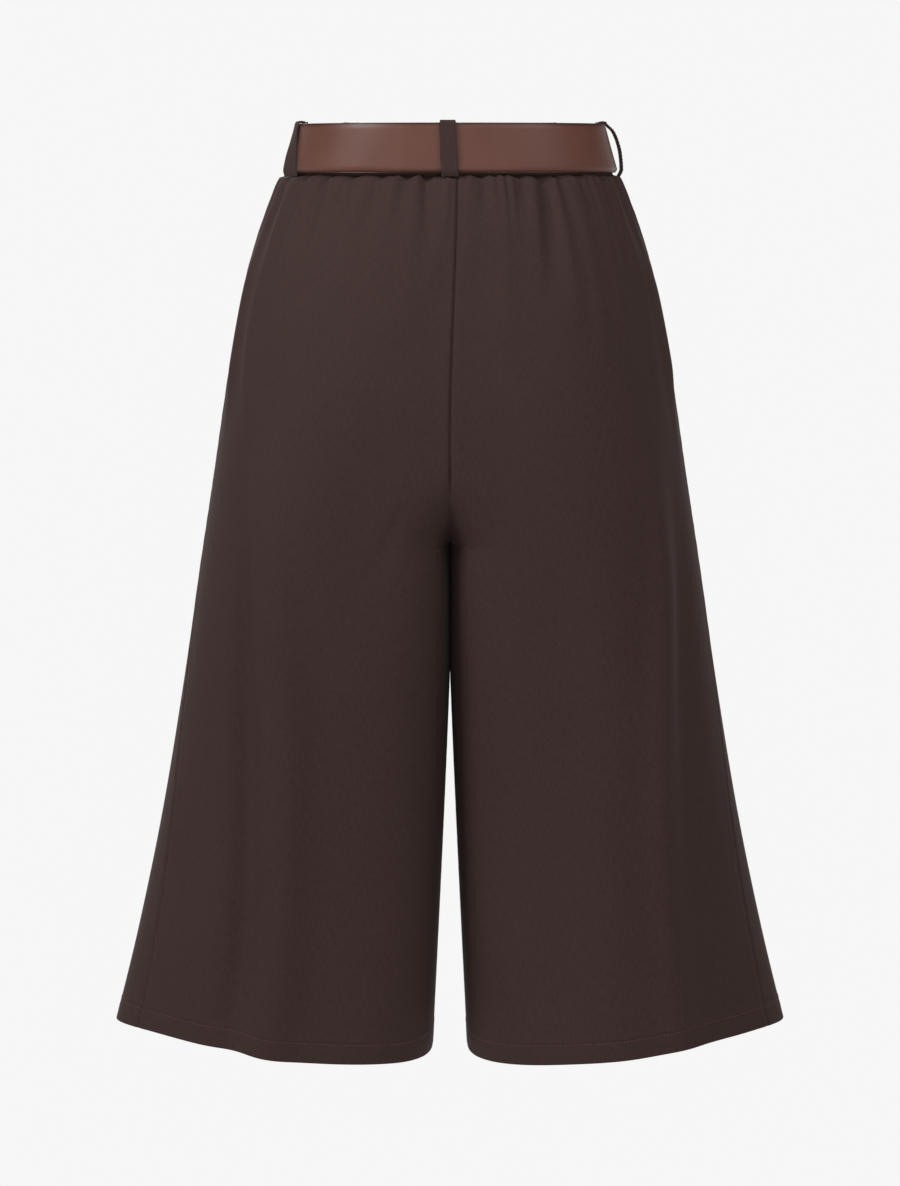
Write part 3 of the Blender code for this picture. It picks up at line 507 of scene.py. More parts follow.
    def facing(self, points: Callable[[Array, Array], Array], w: Array, z: Array) -> Array:
        """Return the outward directions of a surface on this half.

        The step down keeps its distance from the side seam, which the crotch does not move.

        Args:
            points: the surface, as a function of places and heights.
            w: places on the levels.
            z: heights, in metres.

        Returns:
            Unit vectors.
        """
        step, drop = 2e-3, 5e-4
        low, high = np.clip(w - step, 0.0, 2.0), np.clip(w + step, 0.0, 2.0)
        low = np.where((w > 1.0) & (low <= 1.0), w, low)
        high = np.where((w <= 1.0) & (high > 1.0), w, high)
        along = points(high, z) - points(low, z)
        run = self.length(w, z)
        above = 1.0 + np.clip((w - 1.0) * run / self.length(w, z + drop), -1.0, 1.0)
        below = 1.0 + np.clip((w - 1.0) * run / self.length(w, z - drop), -1.0, 1.0)
        down = points(below, z - drop) - points(above, z + drop)
        return unit(np.cross(along, down))

    def fold_height(self, w: Array, z: Array) -> Array:
        """Work out how far all folds and creases move the surface.

        Args:
            w: places on the levels, from 0 to 2.
            z: heights, in metres.

        Returns:
            Distances outwards, in metres.
        """
        plain = self.plain(w, z)
        place = 1.0 + (w - 1.0) * self.length(w, z) / plain
        height = np.zeros_like(w)
        for table, is_drape in ((GATHERS, False), (DRAPES, True), (CREASES, True)):
            for w_top, w_low, z_top, z_low, size_top, size_low, depth in table[self.side]:
                t = (z_top - z) / (z_top - z_low)
                t_in = np.clip(t, 0.0, 1.0)
                size = size_top + (size_low - size_top) * t_in
                away = (place - (w_top + (w_low - w_top) * t_in)) * plain / size
                fade = smoothstep(t / self.DRAPE_RISE) if is_drape else np.ones_like(t)
                fade = fade * smoothstep((1.0 - t_in) / (self.DRAPE_FALL if is_drape else 1.0))
                height += depth * fade * np.exp(-away * away)
        height += self.puckers.heights(place, z)
        near_end = np.minimum(place, 2.0 - place) * plain
        still = self.STILL_TOP + self.STILL_LEG * smoothstep((HIP_Z - z) / self.STILL_SPAN)
        return height * smoothstep(near_end / still)

    def surface(self, w: Array, z: Array) -> Array:
        """Return the points of the finished half, folds included, where they lie on the garment.

        Args:
            w: places on the levels, from 0 to 2.
            z: heights, in metres, of the same shape.

        Returns:
            Points, with one more axis of length 3.
        """
        point = self.base(w, z) + self.fold_height(w, z)[..., None] * self.facing(self.base, w, z)
        point[..., 0] = np.maximum(point[..., 0], MEETING)
        if self.side is Side.RIGHT:
            point[..., 0] *= -1.0
        lean = SEAM_LEAN * smoothstep((z - LEAN_END_Z) / (WAIST_SEAM_Z - LEAN_END_Z))
        near_seam = np.maximum(0.0, 1.0 - (point[..., 0] / LEAN_REACH) ** 2)
        shift = WAIST_SHIFT * smoothstep((z - SHIFT_END_Z) / (WAIST_SEAM_Z - SHIFT_END_Z))
        point[..., 0] += (lean - shift) * near_seam * (point[..., 1] > LEAN_REACH / 4) + shift
        return point


def grid_normals(points: Array, outward: Array) -> Array:
    """Return the unit normals of a grid of points.

    Args:
        points: rows by columns by 3.
        outward: one vector that the normal in the grid's middle has to agree with.

    Returns:
        Normals, rows by columns by 3.
    """
    along = np.gradient(points, axis=1)
    down = np.gradient(points, axis=0)
    normals = unit(np.cross(along, down))
    middle = normals[points.shape[0] // 2, points.shape[1] // 2]
    return -normals if float(middle @ outward) < 0.0 else normals


# ---- meshes ------------------------------------------------------------------------
def select_only(thing: bpy.types.Object) -> None:
    """Make one object the only selected and the active one."""
    bpy.ops.object.select_all(action="DESELECT")
    thing.select_set(True)
    bpy.context.view_layer.objects.active = thing


def new_piece(name: str, vertices: Array, faces: list, uv: Optional[Array] = None) -> bpy.types.Object:
    """Make an object from points and faces.

    Args:
        name: the piece's name.
        vertices: n by 3 points.
        faces: tuples of vertex numbers.
        uv: n by 2 places on the flat cloth, in metres.

    Returns:
        The new object, shaded smooth and linked to the scene.
    """
    mesh = bpy.data.meshes.new(name)
    mesh.from_pydata(np.asarray(vertices).tolist(), [], faces)
    mesh.update()
    if uv is not None:
        layer = mesh.uv_layers.new(name="cloth")
        corners = np.zeros(len(mesh.loops), dtype=np.int32)
        mesh.loops.foreach_get("vertex_index", corners)
        layer.data.foreach_set("uv", np.asarray(uv, dtype=np.float32)[corners].ravel())
    mesh.shade_smooth()
    thing = bpy.data.objects.new(name, mesh)
    bpy.context.scene.collection.objects.link(thing)
    return thing


def cloth_wall(name: str, outer: Array, inner: Array) -> bpy.types.Object:
    """Make a closed thin shell between two grids of points, with its flat cloth as the UV map.

    Args:
        name: the piece's name.
        outer: rows by columns by 3, the outside.
        inner: the inside, of the same shape.

    Returns:
        The shell, with its faces pointing out.
    """
    rows, columns = outer.shape[:2]
    count = rows * columns
    index = np.arange(count).reshape(rows, columns)
    a, b, c, d = index[:-1, :-1], index[1:, :-1], index[1:, 1:], index[:-1, 1:]
    outside = np.stack([a, b, c, d], axis=-1).reshape(-1, 4)
    inside = np.stack([a, d, c, b], axis=-1).reshape(-1, 4) + count
    border = []
    for line in (index[0, ::-1], index[-1], index[:, 0], index[::-1, -1]):
        near, ahead = line[:-1], line[1:]
        border.append(np.stack([ahead, near, near + count, ahead + count], axis=-1))
    faces = np.vstack([outside, inside, *border])
    i, j = rows // 2, columns // 2
    face_out = np.cross(outer[i + 1, j] - outer[i, j], outer[i, j + 1] - outer[i, j])
    if float(face_out @ (outer[i, j] - inner[i, j])) < 0.0:
        faces = faces[:, ::-1]
    across, down = lengths_along(outer, 1), lengths_along(outer, 0)
    uv = np.stack([across - across.mean(axis=1, keepdims=True), -down], axis=-1).reshape(-1, 2)
    vertices = np.vstack([outer.reshape(-1, 3), inner.reshape(-1, 3)])
    return new_piece(name, vertices, faces.tolist(), np.vstack([uv, uv]))


@dataclass(frozen=True)
class Stitch:
    """One kind of sewing stitch: a short thread that dips into the cloth at both ends."""

    length: float = 0.0021
    pitch: float = 0.0028
    thickness: float = 0.00042
    lift: float = 0.00012
    dip: float = 0.00026
    first: float = 0.0003
    look: float = 0.0004
    sides: int = 6
    # the thread's rings: place along the stitch, and share of the full thickness
    rings: tuple = ((-0.50, 0.35), (-0.36, 0.95), (0.0, 1.0), (0.36, 0.95), (0.50, 0.35))

    def unit_mesh(self) -> tuple[Array, list]:
        """Model one stitch.

        Returns:
            Its vertices as (along, across, up), and its faces.
        """
        sides = self.sides
        points = []
        for along, girth in self.rings:
            for k in range(sides):
                angle = 2.0 * math.pi * k / sides
                across = math.cos(angle) * girth * self.thickness / 2
                up = math.sin(angle) * girth * self.thickness / 2 + self.lift
                points.append((along * self.length, across, up - self.dip * (2.0 * along) ** 2))
        faces = []
        for s in range(len(self.rings) - 1):
            for k in range(sides):
                a, b = s * sides + k, s * sides + (k + 1) % sides
                faces.append((a, b, b + sides, a + sides))
        last = (len(self.rings) - 1) * sides
        faces.append(tuple(reversed(range(sides))))
        faces.append(tuple(range(last, last + sides)))
        return np.array(points), faces

    def sew(self, name: str, lines: Sequence[tuple[Array, Array]]) -> bpy.types.Object:
        """Sew along lines.

        Args:
            name: the piece's name.
            lines: pairs of points and the outward directions at them.

        Returns:
            All the stitches as one joined piece.
        """
        shape, shape_faces = self.unit_mesh()
        vertices, faces = [], []
        for points, normals in lines:
            run = run_along(points)
            count = max(int((run[-1] - self.length) / self.pitch), 1)
            at = self.length / 2 + self.pitch * np.arange(count) + self.first
            middle = read_line(at, run, points)
            up = unit(read_line(at, run, normals))
            ahead, behind = (read_line(at + way * self.look, run, points) for way in (1, -1))
            along = unit(ahead - behind)
            across = unit(np.cross(up, along))
            for m, a, c, u in zip(middle, along, across, up):
                start = len(vertices) * len(shape)
                vertices.append(m + shape[:, :1] * a + shape[:, 1:2] * c + shape[:, 2:] * u)
                faces.extend(tuple(start + k for k in f) for f in shape_faces)
        return new_piece(name, np.vstack(vertices), faces)


# ---- finishes ----------------------------------------------------------------------
# the sockets of a colour Mix node
MIX_AMOUNT, MIX_FIRST, MIX_SECOND = 0, 6, 7
MIX_COLOUR_OUT = 2


class NodeBench:
    """A short way to lay out a material's nodes."""

    def __init__(self, name: str) -> None:
        """Start an empty material of that name with its shader and output."""
        self.material = bpy.data.materials.new(name)
        self.material.use_nodes = True
        self.tree = self.material.node_tree
        self.tree.nodes.clear()
        self.shader = self.add("ShaderNodeBsdfPrincipled")
        output = self.add("ShaderNodeOutputMaterial")
        self.join(self.shader, "BSDF", output, "Surface")

    def add(self, kind: str, settings: Optional[dict] = None, **values: object) -> bpy.types.Node:
        """Add a node.

        Args:
            kind: Blender's name of the node type.
            settings: properties of the node.
            **values: values of its inputs, with _ for a space in their names.

        Returns:
            The node.
        """
        node = self.tree.nodes.new(kind)
        for key, value in (settings or {}).items():
            setattr(node, key, value)
        for key, value in values.items():
            node.inputs[key.replace("_", " ")].default_value = value
        return node

    def join(self, source: bpy.types.Node, out: str | int, target: bpy.types.Node,
             into: str | int) -> None:
        """Link an output to an input."""
        self.tree.links.new(source.outputs[out], target.inputs[into])

    def feed(self, source: bpy.types.Node, into: str) -> None:
        """Link a ramp's or a mix's colour to one of the shader's inputs."""
        self.join(source, self.colour_out(source), self.shader, into)

    @staticmethod
    def colour_out(node: bpy.types.Node) -> str | int:
        """Return where a ramp or a mix gives out its colour."""
        return MIX_COLOUR_OUT if node.bl_idname == "ShaderNodeMix" else "Color"

    def set_shader(self, **values: object) -> None:
        """Set constants on the shader's own sockets."""
        for key, value in values.items():
            self.shader.inputs[key.replace("_", " ")].default_value = value

    def noise(self, source: bpy.types.Node, out: str, stretch: tuple, detail: float) -> bpy.types.Node:
        """Add a noise.

        Args:
            source: the node that gives the place.
            out: its output.
            stretch: how many times a metre it repeats, along each axis.
            detail: its octaves.

        Returns:
            The noise.
        """
        mapping = self.add("ShaderNodeMapping", Scale=stretch)
        self.join(source, out, mapping, "Vector")
        noise = self.add("ShaderNodeTexNoise", Scale=1.0, Detail=detail, Roughness=0.55)
        self.join(mapping, "Vector", noise, "Vector")
        return noise

    def ramp(self, source: bpy.types.Node, out: str, stops: Sequence[tuple]) -> bpy.types.Node:
        """Add a colour ramp.

        Args:
            source: the node that it reads.
            out: its output.
            stops: pairs of place and colour, in order.

        Returns:
            The ramp.
        """
        ramp = self.add("ShaderNodeValToRGB")
        elements = ramp.color_ramp.elements
        elements[0].position, elements[1].position = stops[0][0], stops[-1][0]
        elements[0].color, elements[1].color = (*stops[0][1], 1.0), (*stops[-1][1], 1.0)
        for place, colour in stops[1:-1]:
            elements.new(place).color = (*colour, 1.0)
        self.join(source, out, ramp, "Fac")
        return ramp

    def multiply(self, first: bpy.types.Node, second: bpy.types.Node) -> bpy.types.Node:
        """Multiply two colours.

        Args:
            first: a ramp or a mix.
            second: another.

        Returns:
            The mix.
        """
        mix = self.add("ShaderNodeMix", {"data_type": "RGBA", "blend_type": "MULTIPLY"})
        mix.inputs[MIX_AMOUNT].default_value = 1.0
        self.join(first, self.colour_out(first), mix, MIX_FIRST)
        self.join(second, self.colour_out(second), mix, MIX_SECOND)
        return mix

    def bump(self, source: bpy.types.Node, out: str, strength: float, height: float) -> None:
        """Bump the shader's surface.

        Args:
            source: the node that gives the height.
            out: its output.
            strength: how much of the bump shows, up to 1.
            height: what 1 in the output stands for, in metres.
        """
        bump = self.add("ShaderNodeBump", Strength=strength, Distance=height)
        self.join(source, out, bump, "Height")
        self.join(bump, "Normal", self.shader, "Normal")


def grey(value: float) -> Colour:
    """Return a grey colour."""
    return (value, value, value)


def greys(low_at: float, low: float, high_at: float, high: float) -> tuple:
    """Return the two stops of a grey ramp."""
    return (low_at, grey(low)), (high_at, grey(high))


@dataclass(frozen=True)
class SuitingFinish:
    """Dark brown suiting: fine melange yarns, a soft nap and a weave that runs down the cloth."""

    dark: Colour = (0.0500, 0.0270, 0.0235)
    light: Colour = (0.0690, 0.0385, 0.0335)
    nap: Colour = (0.62, 0.50, 0.46)
    yarn: float = 0.0010
    weave_height: float = 0.00012
    sheen: float = 0.09

    def build(self) -> bpy.types.Material:
        """Lay out the finish.

        Returns:
            The material.
        """
        bench = NodeBench("suiting")
        cloth = bench.add("ShaderNodeUVMap", {"uv_map": "cloth"})
        yarn = bench.noise(cloth, "UV", (1 / self.yarn, 0.16 / self.yarn, 1.0), 3.0)
        weft = bench.noise(cloth, "UV", (0.22 / self.yarn, 1.1 / self.yarn, 1.0), 2.0)
        cloud = bench.noise(cloth, "UV", (16.0, 9.0, 1.0), 2.0)
        tone = bench.ramp(yarn, "Fac", ((0.28, self.dark), (0.72, self.light)))
        cross = bench.ramp(weft, "Fac", greys(0.30, 0.92, 0.70, 1.07))
        worn = bench.ramp(cloud, "Fac", greys(0.30, 0.97, 0.70, 1.03))
        woven = bench.multiply(tone, cross)
        bench.feed(bench.multiply(woven, worn), "Base Color")
        bench.feed(bench.ramp(yarn, "Fac", greys(0.2, 0.72, 0.8, 0.86)), "Roughness")
        height = bench.add("ShaderNodeMath", {"operation": "ADD"})
        bench.join(yarn, "Fac", height, 0)
        bench.join(weft, "Fac", height, 1)
        bench.bump(height, "Value", 0.25, self.weave_height)
        bench.set_shader(Sheen_Weight=self.sheen, Sheen_Roughness=0.45, Specular_IOR_Level=0.25,
                         Sheen_Tint=(*self.nap, 1.0))
        return bench.material


@dataclass(frozen=True)
class LeatherFinish:
    """Smooth mahogany belt leather with a fine grain and dark painted edges."""

    deep: Colour = (0.1560, 0.0560, 0.0370)
    warm: Colour = (0.1760, 0.0660, 0.0450)
    edge: Colour = (0.0700, 0.0200, 0.0120)
    grain_height: float = 0.0001
    grains_per_metre: float = 1400.0

    def build(self) -> bpy.types.Material:
        """Lay out the finish.

        Returns:
            The material.
        """
        bench = NodeBench("belt_leather")
        place = bench.add("ShaderNodeTexCoord")
        cloud = bench.noise(place, "Object", (45.0, 45.0, 30.0), 3.0)
        streak = bench.noise(place, "Object", (160.0, 160.0, 700.0), 2.0)
        tone = bench.ramp(cloud, "Fac", ((0.30, self.deep), (0.70, self.warm)))
        fleck = bench.ramp(streak, "Fac", greys(0.35, 0.985, 0.65, 1.015))
        hide = bench.multiply(tone, fleck)
        rim = bench.add("ShaderNodeAttribute", {"attribute_name": "edge"})
        paint = bench.add("ShaderNodeMix", {"data_type": "RGBA"})
        bench.join(rim, "Fac", paint, MIX_AMOUNT)
        bench.join(hide, MIX_COLOUR_OUT, paint, MIX_FIRST)
        paint.inputs[MIX_SECOND].default_value = (*self.edge, 1.0)
        bench.feed(paint, "Base Color")
        bench.feed(bench.ramp(cloud, "Fac", greys(0.3, 0.40, 0.7, 0.48)), "Roughness")
        grain = bench.add("ShaderNodeTexVoronoi", Scale=self.grains_per_metre)
        bench.join(place, "Object", grain, "Vector")
        bench.bump(grain, "Distance", 0.10, self.grain_height)
        bench.set_shader(Specular_IOR_Level=0.5, Coat_Weight=0.12, Coat_Roughness=0.35)
        return bench.material


@dataclass(frozen=True)
class BrassFinish:
    """Dark satin brass, brushed along the buckle and rubbed brighter where hands touch it."""

    dark: Colour = (0.26, 0.17, 0.09)
    bright: Colour = (0.44, 0.31, 0.17)
    brush_height: float = 0.00005

    def build(self) -> bpy.types.Material:
        """Lay out the finish.

        Returns:
            The material.
        """
        bench = NodeBench("buckle_metal")
        place = bench.add("ShaderNodeTexCoord")
        brush = bench.noise(place, "Object", (90.0, 900.0, 2400.0), 2.0)
        rub = bench.noise(place, "Object", (120.0, 120.0, 120.0), 2.0)
        tone = bench.ramp(rub, "Fac", ((0.30, self.dark), (0.70, self.bright)))
        bench.feed(tone, "Base Color")
        bench.feed(bench.ramp(brush, "Fac", greys(0.3, 0.28, 0.7, 0.42)), "Roughness")
        bench.bump(brush, "Fac", 0.08, self.brush_height)
        bench.set_shader(Metallic=1.0)
        return bench.material


@dataclass(frozen=True)
class ThreadFinish:
    """Twisted sewing thread."""

    name: str
    dark: Colour
    light: Colour
    ply_height: float = 0.00005

    def build(self) -> bpy.types.Material:
        """Lay out the finish.

        Returns:
            The material.
        """
        bench = NodeBench(self.name)
        place = bench.add("ShaderNodeTexCoord")
        ply = bench.noise(place, "Object", (2600.0, 2600.0, 2600.0), 1.0)
        tone = bench.ramp(ply, "Fac", ((0.35, self.dark), (0.65, self.light)))
        bench.feed(tone, "Base Color")
        bench.bump(ply, "Fac", 0.3, self.ply_height)
        bench.set_shader(Roughness=0.6, Sheen_Weight=0.2)
        return bench.material


@dataclass(frozen=True)
class StudioFinish:
    """The plain pale paper that the garment is shown against."""

    tone: float = 0.80
    mottle: float = 0.005

    def build(self) -> bpy.types.Material:
        """Lay out the finish.

        Returns:
            The material.
        """
        bench = NodeBench("studio_paper")
        place = bench.add("ShaderNodeTexCoord")
        fibre = bench.noise(place, "Object", (9.0, 9.0, 9.0), 2.0)
        low, high = self.tone * (1.0 - self.mottle), self.tone * (1.0 + self.mottle)
        bench.feed(bench.ramp(fibre, "Fac", greys(0.3, low, 0.7, high)), "Base Color")
        bench.set_shader(Roughness=0.9, Specular_IOR_Level=0.1)
        return bench.material


@dataclass
class Wardrobe:
    """The finishes, each made once."""

    suiting: bpy.types.Material = field(default_factory=lambda: SuitingFinish().build())
    leather: bpy.types.Material = field(default_factory=lambda: LeatherFinish().build())
    brass: bpy.types.Material = field(default_factory=lambda: BrassFinish().build())
    hem_thread: bpy.types.Material = field(default_factory=lambda: ThreadFinish(
        "hem_thread", (0.125, 0.036, 0.018), (0.215, 0.070, 0.036)).build())
    seam_thread: bpy.types.Material = field(default_factory=lambda: ThreadFinish(
        "seam_thread", (0.040, 0.022, 0.018), (0.075, 0.045, 0.038)).build())


def place_piece(thing: bpy.types.Object, material: bpy.types.Material, slot: str,
                *nodes: str) -> bpy.types.Object:
    """Give a piece its finish and its place in the frame.

    Args:
        thing: the finished piece.
        material: its finish.
        slot: a material slot's name; not used.
        *nodes: the solids that it stands for.

    Returns:
        The same piece.
    """
    thing.data.materials.clear()
    thing.data.materials.append(material)
    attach(thing, "root")
    if nodes:
        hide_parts(*nodes)
    LOG.info("%s: %d faces", thing.name, len(thing.data.polygons))
    return thing


# ---- panels ------------------------------------------------------------------------
@dataclass
class PanelRows:
    """The lines that a panel's mesh follows, from the waist seam to the hem."""

    seat_rows: int = 78
    crotch_rows: int = 46
    leg_rows: int = 112
    # shares of the whole run at the ends of the seat, the crotch and the leg
    seat_share: float = 10 / 26
    crotch_share: float = 17 / 26
    leg_share: float = 25 / 26
    seat_low: float = -0.250
    crotch_low: float = -0.380
    # how rows crowd at the waist seam, and how they drop from the inner leg to the side seam
    waist_crowding: float = 1.55
    side_power: float = 1.3
    hem_power: float = 1.5
    # distances from the hem's edge, close together at the stitching and where the edge rounds
    hem_steps: tuple = (0.0200, 0.0196, 0.0188, 0.0180, 0.0168, 0.0160, 0.0155, 0.0150, 0.0145, 0.0140,
                        0.0130, 0.0110, 0.0090, 0.0070, 0.0052, 0.0036, 0.0025, 0.0017, 0.0011, 0.0006,
                        0.00025, 0.00005)
    stitch_step: float = 0.0150

    def __post_init__(self) -> None:
        """Work out (inner z, outer z, share of the hem's curve) for each row."""
        outer_hem = INNER_HEM_Z + HEM_RISE
        rows = []
        for t in np.arange(self.seat_rows) / self.seat_rows:
            down = t ** self.waist_crowding
            rows.append((WAIST_SEAM_Z + (HIP_Z - WAIST_SEAM_Z) * down,
                         WAIST_SEAM_Z + (self.seat_low - WAIST_SEAM_Z) * down, self.seat_share * t))
        bend = float(level_value("corner", CROTCH_Z))
        closures, _ = corner(math.pi / 2, 0.0, bend, self.crotch_rows + 1)
        for k in range(self.crotch_rows):
            t = k / self.crotch_rows
            above = max(1.0 - closures[k], 0.0) ** (1.0 / CROTCH_CURVE)
            rows.append((CROTCH_Z + (HIP_Z - CROTCH_Z) * above,
                         self.seat_low + (self.crotch_low - self.seat_low) * t,
                         self.seat_share + (self.crotch_share - self.seat_share) * t))
        for t in np.arange(self.leg_rows) / self.leg_rows:
            rows.append((CROTCH_Z + (INNER_HEM_Z + HEM_DEPTH - CROTCH_Z) * t,
                         self.crotch_low + (outer_hem + HEM_DEPTH - self.crotch_low) * t,
                         self.crotch_share + (self.leg_share - self.crotch_share) * t))
        self.hem_start = len(rows)
        for step in self.hem_steps:
            t = 1.0 - step / HEM_DEPTH
            share = self.leg_share + (1.0 - self.leg_share) * t
            rows.append((INNER_HEM_Z + step, outer_hem + step, share))
        self.rows = np.array(rows)

    def heights(self, t: Array) -> Array:
        """Work out the height of each row at its columns.

        Args:
            t: columns, from 0 to 2, a row for each row.

        Returns:
            Heights in metres, rows by columns.
        """
        inner_z, outer_z, share = (self.rows[:, k:k + 1] for k in range(3))
        near_side = np.clip(np.minimum(t, 2.0 - t), 0.0, 1.0)
        upper, lower = near_side ** self.side_power, smoothstep(near_side) ** self.hem_power
        reach = (1.0 - share) * upper + share * lower
        return inner_z + (outer_z - inner_z) * reach

    @property
    def side_heights(self) -> Array:
        """Return each row's height at the side seam."""
        return self.rows[:, 1]

    @property
    def hem_distance(self) -> Array:
        """Return each row's distance from the hem's edge, and a large one above the turn-up."""
        distance = np.full(len(self.rows), 1.0)
        distance[self.hem_start:] = self.hem_steps
        return distance


@dataclass
class Panel:
    """One cloth panel, from the waist seam to the hem, with its hem stitching."""

    side: Side
    part: Part
    shape: HalfShape
    ring: "WaistRing"
    columns: int
    flat: tuple[float, float]
    flat_area: float
    rows: PanelRows = field(default_factory=PanelRows)
    # distances of the columns beside a seam, as shares of a row
    close_columns: tuple = (0.0, 0.0016, 0.0036, 0.0062, 0.0096, 0.0140)
    groove: float = 0.0009
    centre_groove: float = 0.0019
    groove_reach: float = 0.0013
    # the centre seam is deep only where the cloth faces back or front: its depth fades from the first
    # |x| of a normal, over the second
    side_facing: tuple[float, float] = (0.10, 0.18)
    # the allowance pressed flat inside a seam: width, how far it lifts the cloth, and its soft edge
    allowance: float = 0.010
    allowance_lift: float = 0.00022
    allowance_edge: float = 0.0025
    # the seam's pull on the cloth beside it: height, reach, and its waves
    pull: float = 0.00014
    pull_reach: float = 0.006
    pull_waves: tuple[float, float, float] = (0.0029, 2.2, 0.021)
    far_seam_turn: float = 1.7
    seam_allowance: float = 0.009
    allowance_heights: tuple = (1.0, 0.66, 0.33, 0.08)
    inside_gap: float = 0.0017
    turn_up_lift: float = 0.00025
    turn_up_edge: float = 0.0015
    stitch_dent: float = 0.00030
    dent_reach: float = 0.0011
    pucker: float = 0.00012
    pucker_reach: float = 0.0050
    pucker_waves: tuple[float, float, float] = (0.0031, 1.9, 0.017)
    turn_up_from: float = 0.001

    @property
    def name(self) -> str:
        """Return the name of the panel's solid."""
        return f"{self.part.value}_{self.side.value}"

    def _columns(self) -> Array:
        """Return the shares of a row at which the columns lie, closer at both seams."""
        close = np.array(self.close_columns)
        middle = np.linspace(close[-1], 1.0 - close[-1], self.columns - 2 * (len(close) - 1))
        return np.concatenate([close[:-1], middle, (1.0 - close[:-1])[::-1]])

    def _pocket_back(self, z: Array) -> Array:
        """Return how far the edge stands back from the side seam, to open the pocket mouth."""
        t = np.clip((z - POCKET_LOW_Z) / (POCKET_TOP_Z - POCKET_LOW_Z), 0.0, 1.0)
        return POCKET_OPEN * np.sin(math.pi * t)

    def _outside(self) -> tuple[Array, Array, Array]:
        """Work out the outside before its seams and stitches.

        Returns:
            The points, their normals, and the top row's places.
        """
        rows = self.rows
        edge_z = rows.side_heights
        ones = np.full_like(edge_z, 0.5 if self.part is Part.BACK else 1.5)
        edge = self._pocket_back(edge_z) / self.shape.length(ones, edge_z)
        share = self._columns()[None, :]
        if self.part is Part.BACK:
            t = share * (1.0 - edge[:, None])
        else:
            t = 1.0 + edge[:, None] + share * (1.0 - edge[:, None])
        z = rows.heights(t)
        w = self.shape.column_place(t, z)
        points = self.shape.surface(w, z)
        normals = self.shape.facing(self.shape.surface, w, z)
        test = 5, points.shape[1] // 2
        if float(normals[test] @ (points[test] * np.array([1.0, 1.0, 0.0]))) < 0.0:
            normals = -normals
        return points, normals, w[0]

    def _allowance_rows(self, w: Array) -> tuple[Array, Array]:
        """Return the rows that run up inside the waistband, above the panel's top edge.

        Args:
            w: the places of the panel's columns at the waist seam.

        Returns:
            The outer and inner points of those rows, from the raw edge down.
        """
        q = w if self.side is Side.RIGHT else 4.0 - w
        height = np.array(self.allowance_heights)[:, None]
        z = WAIST_SEAM_Z + SEAM_GAP + self.seam_allowance * height + np.zeros((1, len(w)))
        q = q[None, :] + np.zeros_like(z)
        behind = -(WAISTBAND_CLOTH + self.inside_gap) + np.zeros_like(z)
        outer = self.ring.point(q, z, behind)
        inner = self.ring.point(q, z, behind - CLOTH)
        return outer, inner

    def _relief(self, points: Array, normals: Array) -> Array:
        """Work out how far seams, turn-up and stitching move the outside.

        Args:
            points: the outside, rows by columns by 3.
            normals: its normals.

        Returns:
            Distances outwards in metres, rows by columns.
        """
        facing_from, facing_span = self.side_facing
        square_on = 1.0 - smoothstep((np.abs(normals[..., 0]) - facing_from) / facing_span)
        run, drop = lengths_along(points, 1), lengths_along(points, 0)
        # a back panel's row starts at the centre seam, and a front panel's ends there
        centre_starts = self.part is Part.BACK
        relief = np.zeros(run.shape)
        near_seam = (run, 0.0, centre_starts)
        far_seam = (run[:, -1:] - run, self.far_seam_turn, not centre_starts)
        for distance, turn, at_centre in (near_seam, far_seam):
            depth = self.centre_groove * square_on if at_centre else self.groove
            relief -= depth * bell(distance, self.groove_reach)
            pressed = smoothstep((self.allowance - distance) / self.allowance_edge)
            relief += self.allowance_lift * pressed
            pull = uneven_wave(drop, *self.pull_waves, turn)
            relief += self.pull * pull * np.exp(-distance / self.pull_reach)
        hem = self.rows.hem_distance[:, None]
        from_stitches = hem - self.rows.stitch_step
        relief -= self.stitch_dent * bell(from_stitches, self.dent_reach)
        relief += self.turn_up_lift * smoothstep((HEM_DEPTH - hem) / self.turn_up_edge)
        pucker = uneven_wave(run, *self.pucker_waves)
        relief += self.pucker * pucker * bell(from_stitches, self.pucker_reach)
        return relief

    def build(self, wardrobe: Wardrobe) -> bpy.types.Object:
        """Args:
            wardrobe: the finishes.

        Returns:
            The panel.
        """
        points, normals, top_places = self._outside()
        outer = points + self._relief(points, normals)[..., None] * normals
        hem = self.rows.hem_distance[:, None]
        doubled = hem < HEM_DEPTH - self.turn_up_from
        wall = np.where(doubled, HEM_CLOTH, CLOTH) + np.zeros(outer.shape[:2])
        half = HEM_CLOTH / 2
        roll = np.sqrt(np.clip(half ** 2 - (half - np.minimum(hem, half)) ** 2, 0.0, None))
        tuck = np.where(hem < half, half - roll, 0.0) + np.zeros(outer.shape[:2])
        inner = outer - (wall - tuck)[..., None] * normals
        rolled = outer - tuck[..., None] * normals
        inner[0] = inner[1] + (inner[1] - inner[2])
        top_outer, top_inner = self._allowance_rows(top_places)
        shell = cloth_wall(f"cloth_{self.name}", np.vstack([top_outer, rolled]),
                           np.vstack([top_inner, inner]))
        panel = place_piece(shell, wardrobe.suiting, "suiting", self.name)
        row = self.rows.hem_start + self.rows.hem_steps.index(self.rows.stitch_step)
        stitches = Stitch().sew(f"hem_stitches_{self.name}", [(rolled[row], normals[row])])
        place_piece(stitches, wardrobe.hem_thread, "suiting")
        return panel


